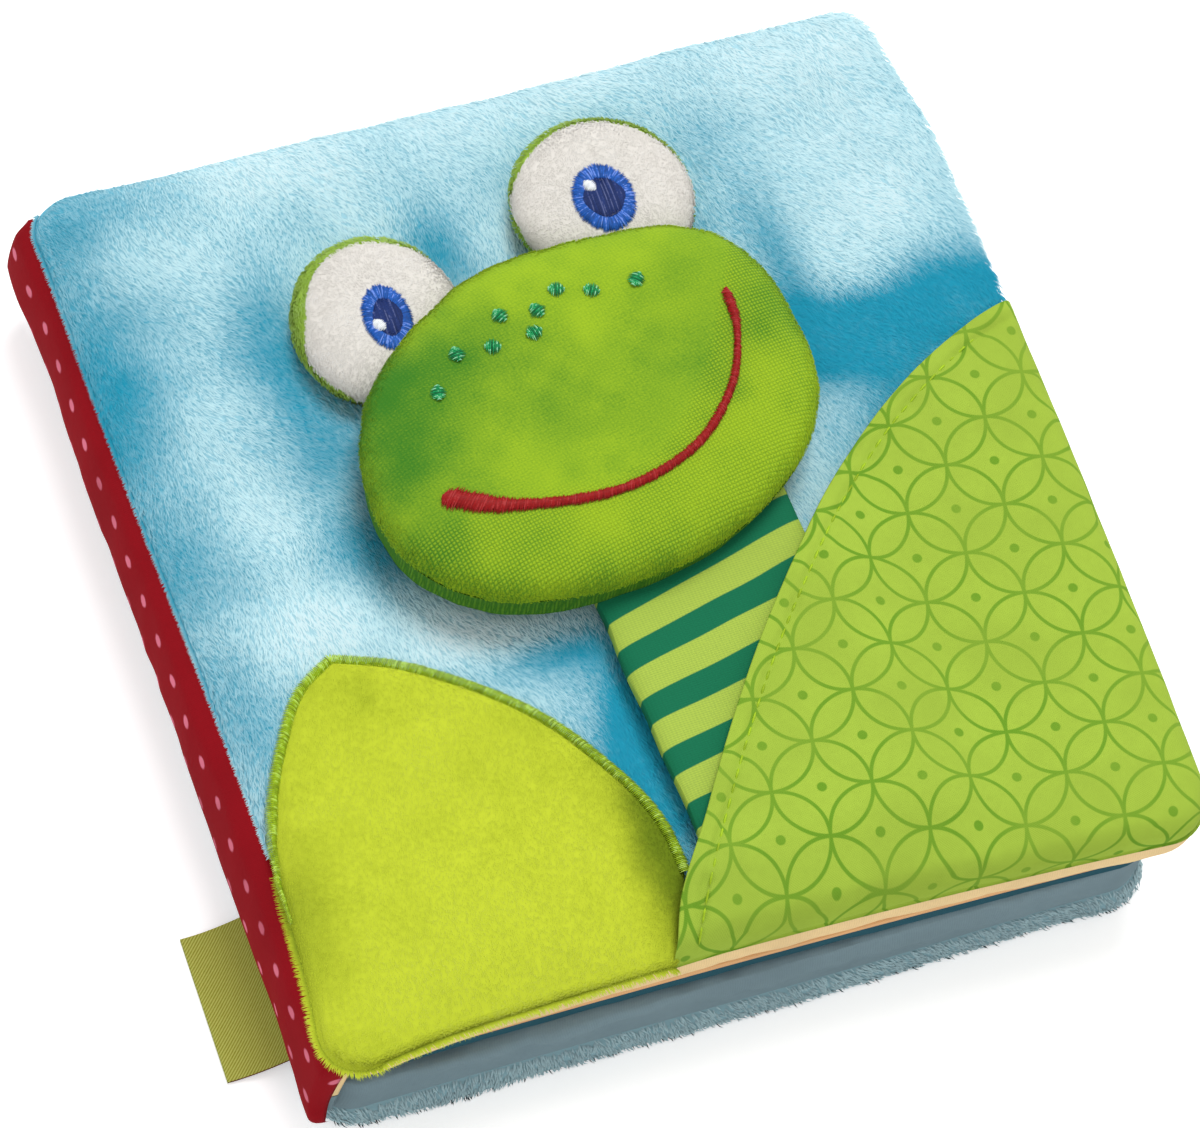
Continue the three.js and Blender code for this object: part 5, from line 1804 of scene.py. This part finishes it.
class MakeBody(bpy.types.Operator):
    """Flat striped body that goes down into the pocket, and its neck"""
    bl_idname = "cloth_book.body"
    bl_label = "Body"

    def execute(self, context):
        _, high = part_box("body_front_panel")
        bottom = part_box("body_back_panel")[0].z
        seam = (bottom + high.z) / 2
        finish = jersey("striped_jersey")
        lower = -BODY_LOWER_END * MM
        half = BODY_WIDTH / 2 * MM
        rows, columns = 110, 64
        along = np.linspace(lower, NECK_LENGTH * MM, rows)[:, None]
        around = np.linspace(0, 2 * np.pi, columns, endpoint=False)[None, :]
        side = np.sign(np.cos(around)) * (1 - (1 - np.abs(np.cos(around))) ** 1.8)
        end = dome(along - lower, 4 * MM, 3)
        wave = 0.35 * MM * lumps(along / (8 * MM), np.sign(side) + 0 * along, 121)
        across = side * (half - 0.4 * MM + wave) * (0.93 + 0.07 * end)
        inset = half - np.abs(across)
        thick = dome(inset, *THIN) * end
        rise = (high.z - seam - 0.1 * MM) * thick
        upper = np.sin(around) >= 0
        hollows = 0.3 * MM * dents(across, along, 9, 122) * thick
        z = seam + np.where(upper, 1, -1) * rise + np.where(upper, hollows, 0)
        x, y = turned(across + 0 * along, along + 0 * across, BODY_LEAN)
        points = np.stack([x + BODY_CENTRE[0] * MM + FRONT_X, y + BODY_CENTRE[1] * MM, z], axis=2)
        faces = quads(rows, columns, closed=True)
        flat = points.reshape(-1, 3)
        outward = flat - flat.mean(axis=0)
        if (normals_of(flat, faces)[:, 2] * outward[:, 2]).mean() < 0:
            faces = faces[:, ::-1]
        cloth = np.stack([np.repeat(along, columns, axis=1), across + 0 * along], axis=2).reshape(-1, 2)
        made = new_object("body_jersey", flat, faces, finish, cloth)
        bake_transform(made)
        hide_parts("body_front_panel", "body_back_panel", "body_wadding", "neck_band")
        return {"FINISHED"}


# Stage

# The lamps: name, the way the light goes, strength and softness
LAMPS = (("key", (-0.26, -0.38, -0.89), 1.65, 0.5), ("fill", (0.5, 0.35, -0.8), 0.2, 1.2))
SKY_LIGHT = 0.7
FLOOR_REACH = 3.0
FLOOR_GLOW = 0.42


class MakeStage(bpy.types.Operator):
    """Pale floor, soft lights and the photograph's camera"""
    bl_idname = "cloth_book.stage"
    bl_label = "Stage"

    def execute(self, context):
        self.floor()
        self.lights()
        self.camera()
        bpy.context.scene.view_settings.view_transform = "Standard"
        return {"FINISHED"}

    def floor(self):
        corners = FLOOR_REACH * np.array([[-1, -1, 0], [1, -1, 0], [1, 1, 0], [-1, 1, 0]])
        finish = Finish("floor")
        colour = paint("floor")
        seen = 0.0
        for ray in ("Is Camera Ray", "Is Glossy Ray", "Is Transmission Ray"):
            seen = finish.math("MAXIMUM", finish.node("ShaderNodeLightPath", output=ray), seen)
        lit = finish.node("ShaderNodeBsdfDiffuse", inputs={"Color": colour})
        glow = finish.node("ShaderNodeEmission", inputs={"Color": WHITE, "Strength": seen * FLOOR_GLOW})
        both = finish.node("ShaderNodeAddShader", inputs={0: lit, 1: glow})
        finish.node("ShaderNodeOutputMaterial", inputs={"Surface": both})
        floor = new_object("floor", corners, np.array([[0, 1, 2, 3]]), finish.material)

    def lights(self):
        world = bpy.data.worlds.new("studio")
        world.use_nodes = True
        bpy.context.scene.world = world
        background = world.node_tree.nodes["Background"]
        background.inputs["Color"].default_value = (*WHITE, 1)
        background.inputs["Strength"].default_value = SKY_LIGHT
        for name, way, strength, softness in LAMPS:
            lamp = bpy.data.lights.new(name, "SUN")
            lamp.energy = strength
            lamp.angle = softness
            holder = bpy.data.objects.new(name, lamp)
            holder.rotation_mode = "QUATERNION"
            holder.rotation_quaternion = Vector(way).to_track_quat("-Z", "Y")
            bpy.context.scene.collection.objects.link(holder)

    def camera(self):
        e, a = CAMERA_ELEVATION, CAMERA_AZIMUTH
        forward = Vector((math.sin(a) * math.cos(e), math.cos(a) * math.cos(e), -math.sin(e)))
        level = forward.cross(Vector((0, 0, 1))).normalized()
        upright = level.cross(forward)
        right = level * math.cos(CAMERA_ROLL) + upright * math.sin(CAMERA_ROLL)
        up = upright * math.cos(CAMERA_ROLL) - level * math.sin(CAMERA_ROLL)
        data = bpy.data.cameras.new("camera")
        data.lens = LENS
        data.sensor_width = SENSOR
        camera = bpy.data.objects.new("camera", data)
        place = Vector(CAMERA_AIM) - forward * CAMERA_DISTANCE
        axes = Matrix((right, up, -forward)).transposed().to_4x4()
        camera.matrix_world = Matrix.Translation(place) @ axes
        bpy.context.scene.collection.objects.link(camera)
        bpy.context.scene.camera = camera


MAKERS = (MakeStage, MakeBackCover, MakeTag, MakeSpine, MakeLeaf, MakeFrontCover, MakeLeafPatch, MakePocket,
          MakeBody, MakeHead, MakeEyes)


class ClothBookPanel(bpy.types.Panel):
    """Sizes, colours and makers of the cloth book"""
    bl_idname = "VIEW3D_PT_cloth_book"
    bl_label = "Cloth Book"
    bl_space_type = "VIEW_3D"
    bl_region_type = "UI"
    bl_category = "Cloth Book"

    def draw(self, context):
        for group in (context.scene.cloth_book_sizes, context.scene.cloth_book_colours):
            box = self.layout.box()
            for name in group.bl_rna.properties.keys():
                if name not in ("rna_type", "name"):
                    box.prop(group, name)
        for maker in MAKERS:
            self.layout.operator(maker.bl_idname)


CLASSES = (ClothBookColours, ClothBookSizes, *MAKERS, ClothBookPanel)


def register():
    for item in CLASSES:
        bpy.utils.register_class(item)
    bpy.types.Scene.cloth_book_sizes = PointerProperty(type=ClothBookSizes)
    bpy.types.Scene.cloth_book_colours = PointerProperty(type=ClothBookColours)


def unregister():
    del bpy.types.Scene.cloth_book_sizes
    del bpy.types.Scene.cloth_book_colours
    for item in reversed(CLASSES):
        bpy.utils.unregister_class(item)


def main():
    register()
    for maker in MAKERS:
        group, name = maker.bl_idname.split(".")
        getattr(getattr(bpy.ops, group), name)()


if __name__ == "__main__":
    main()
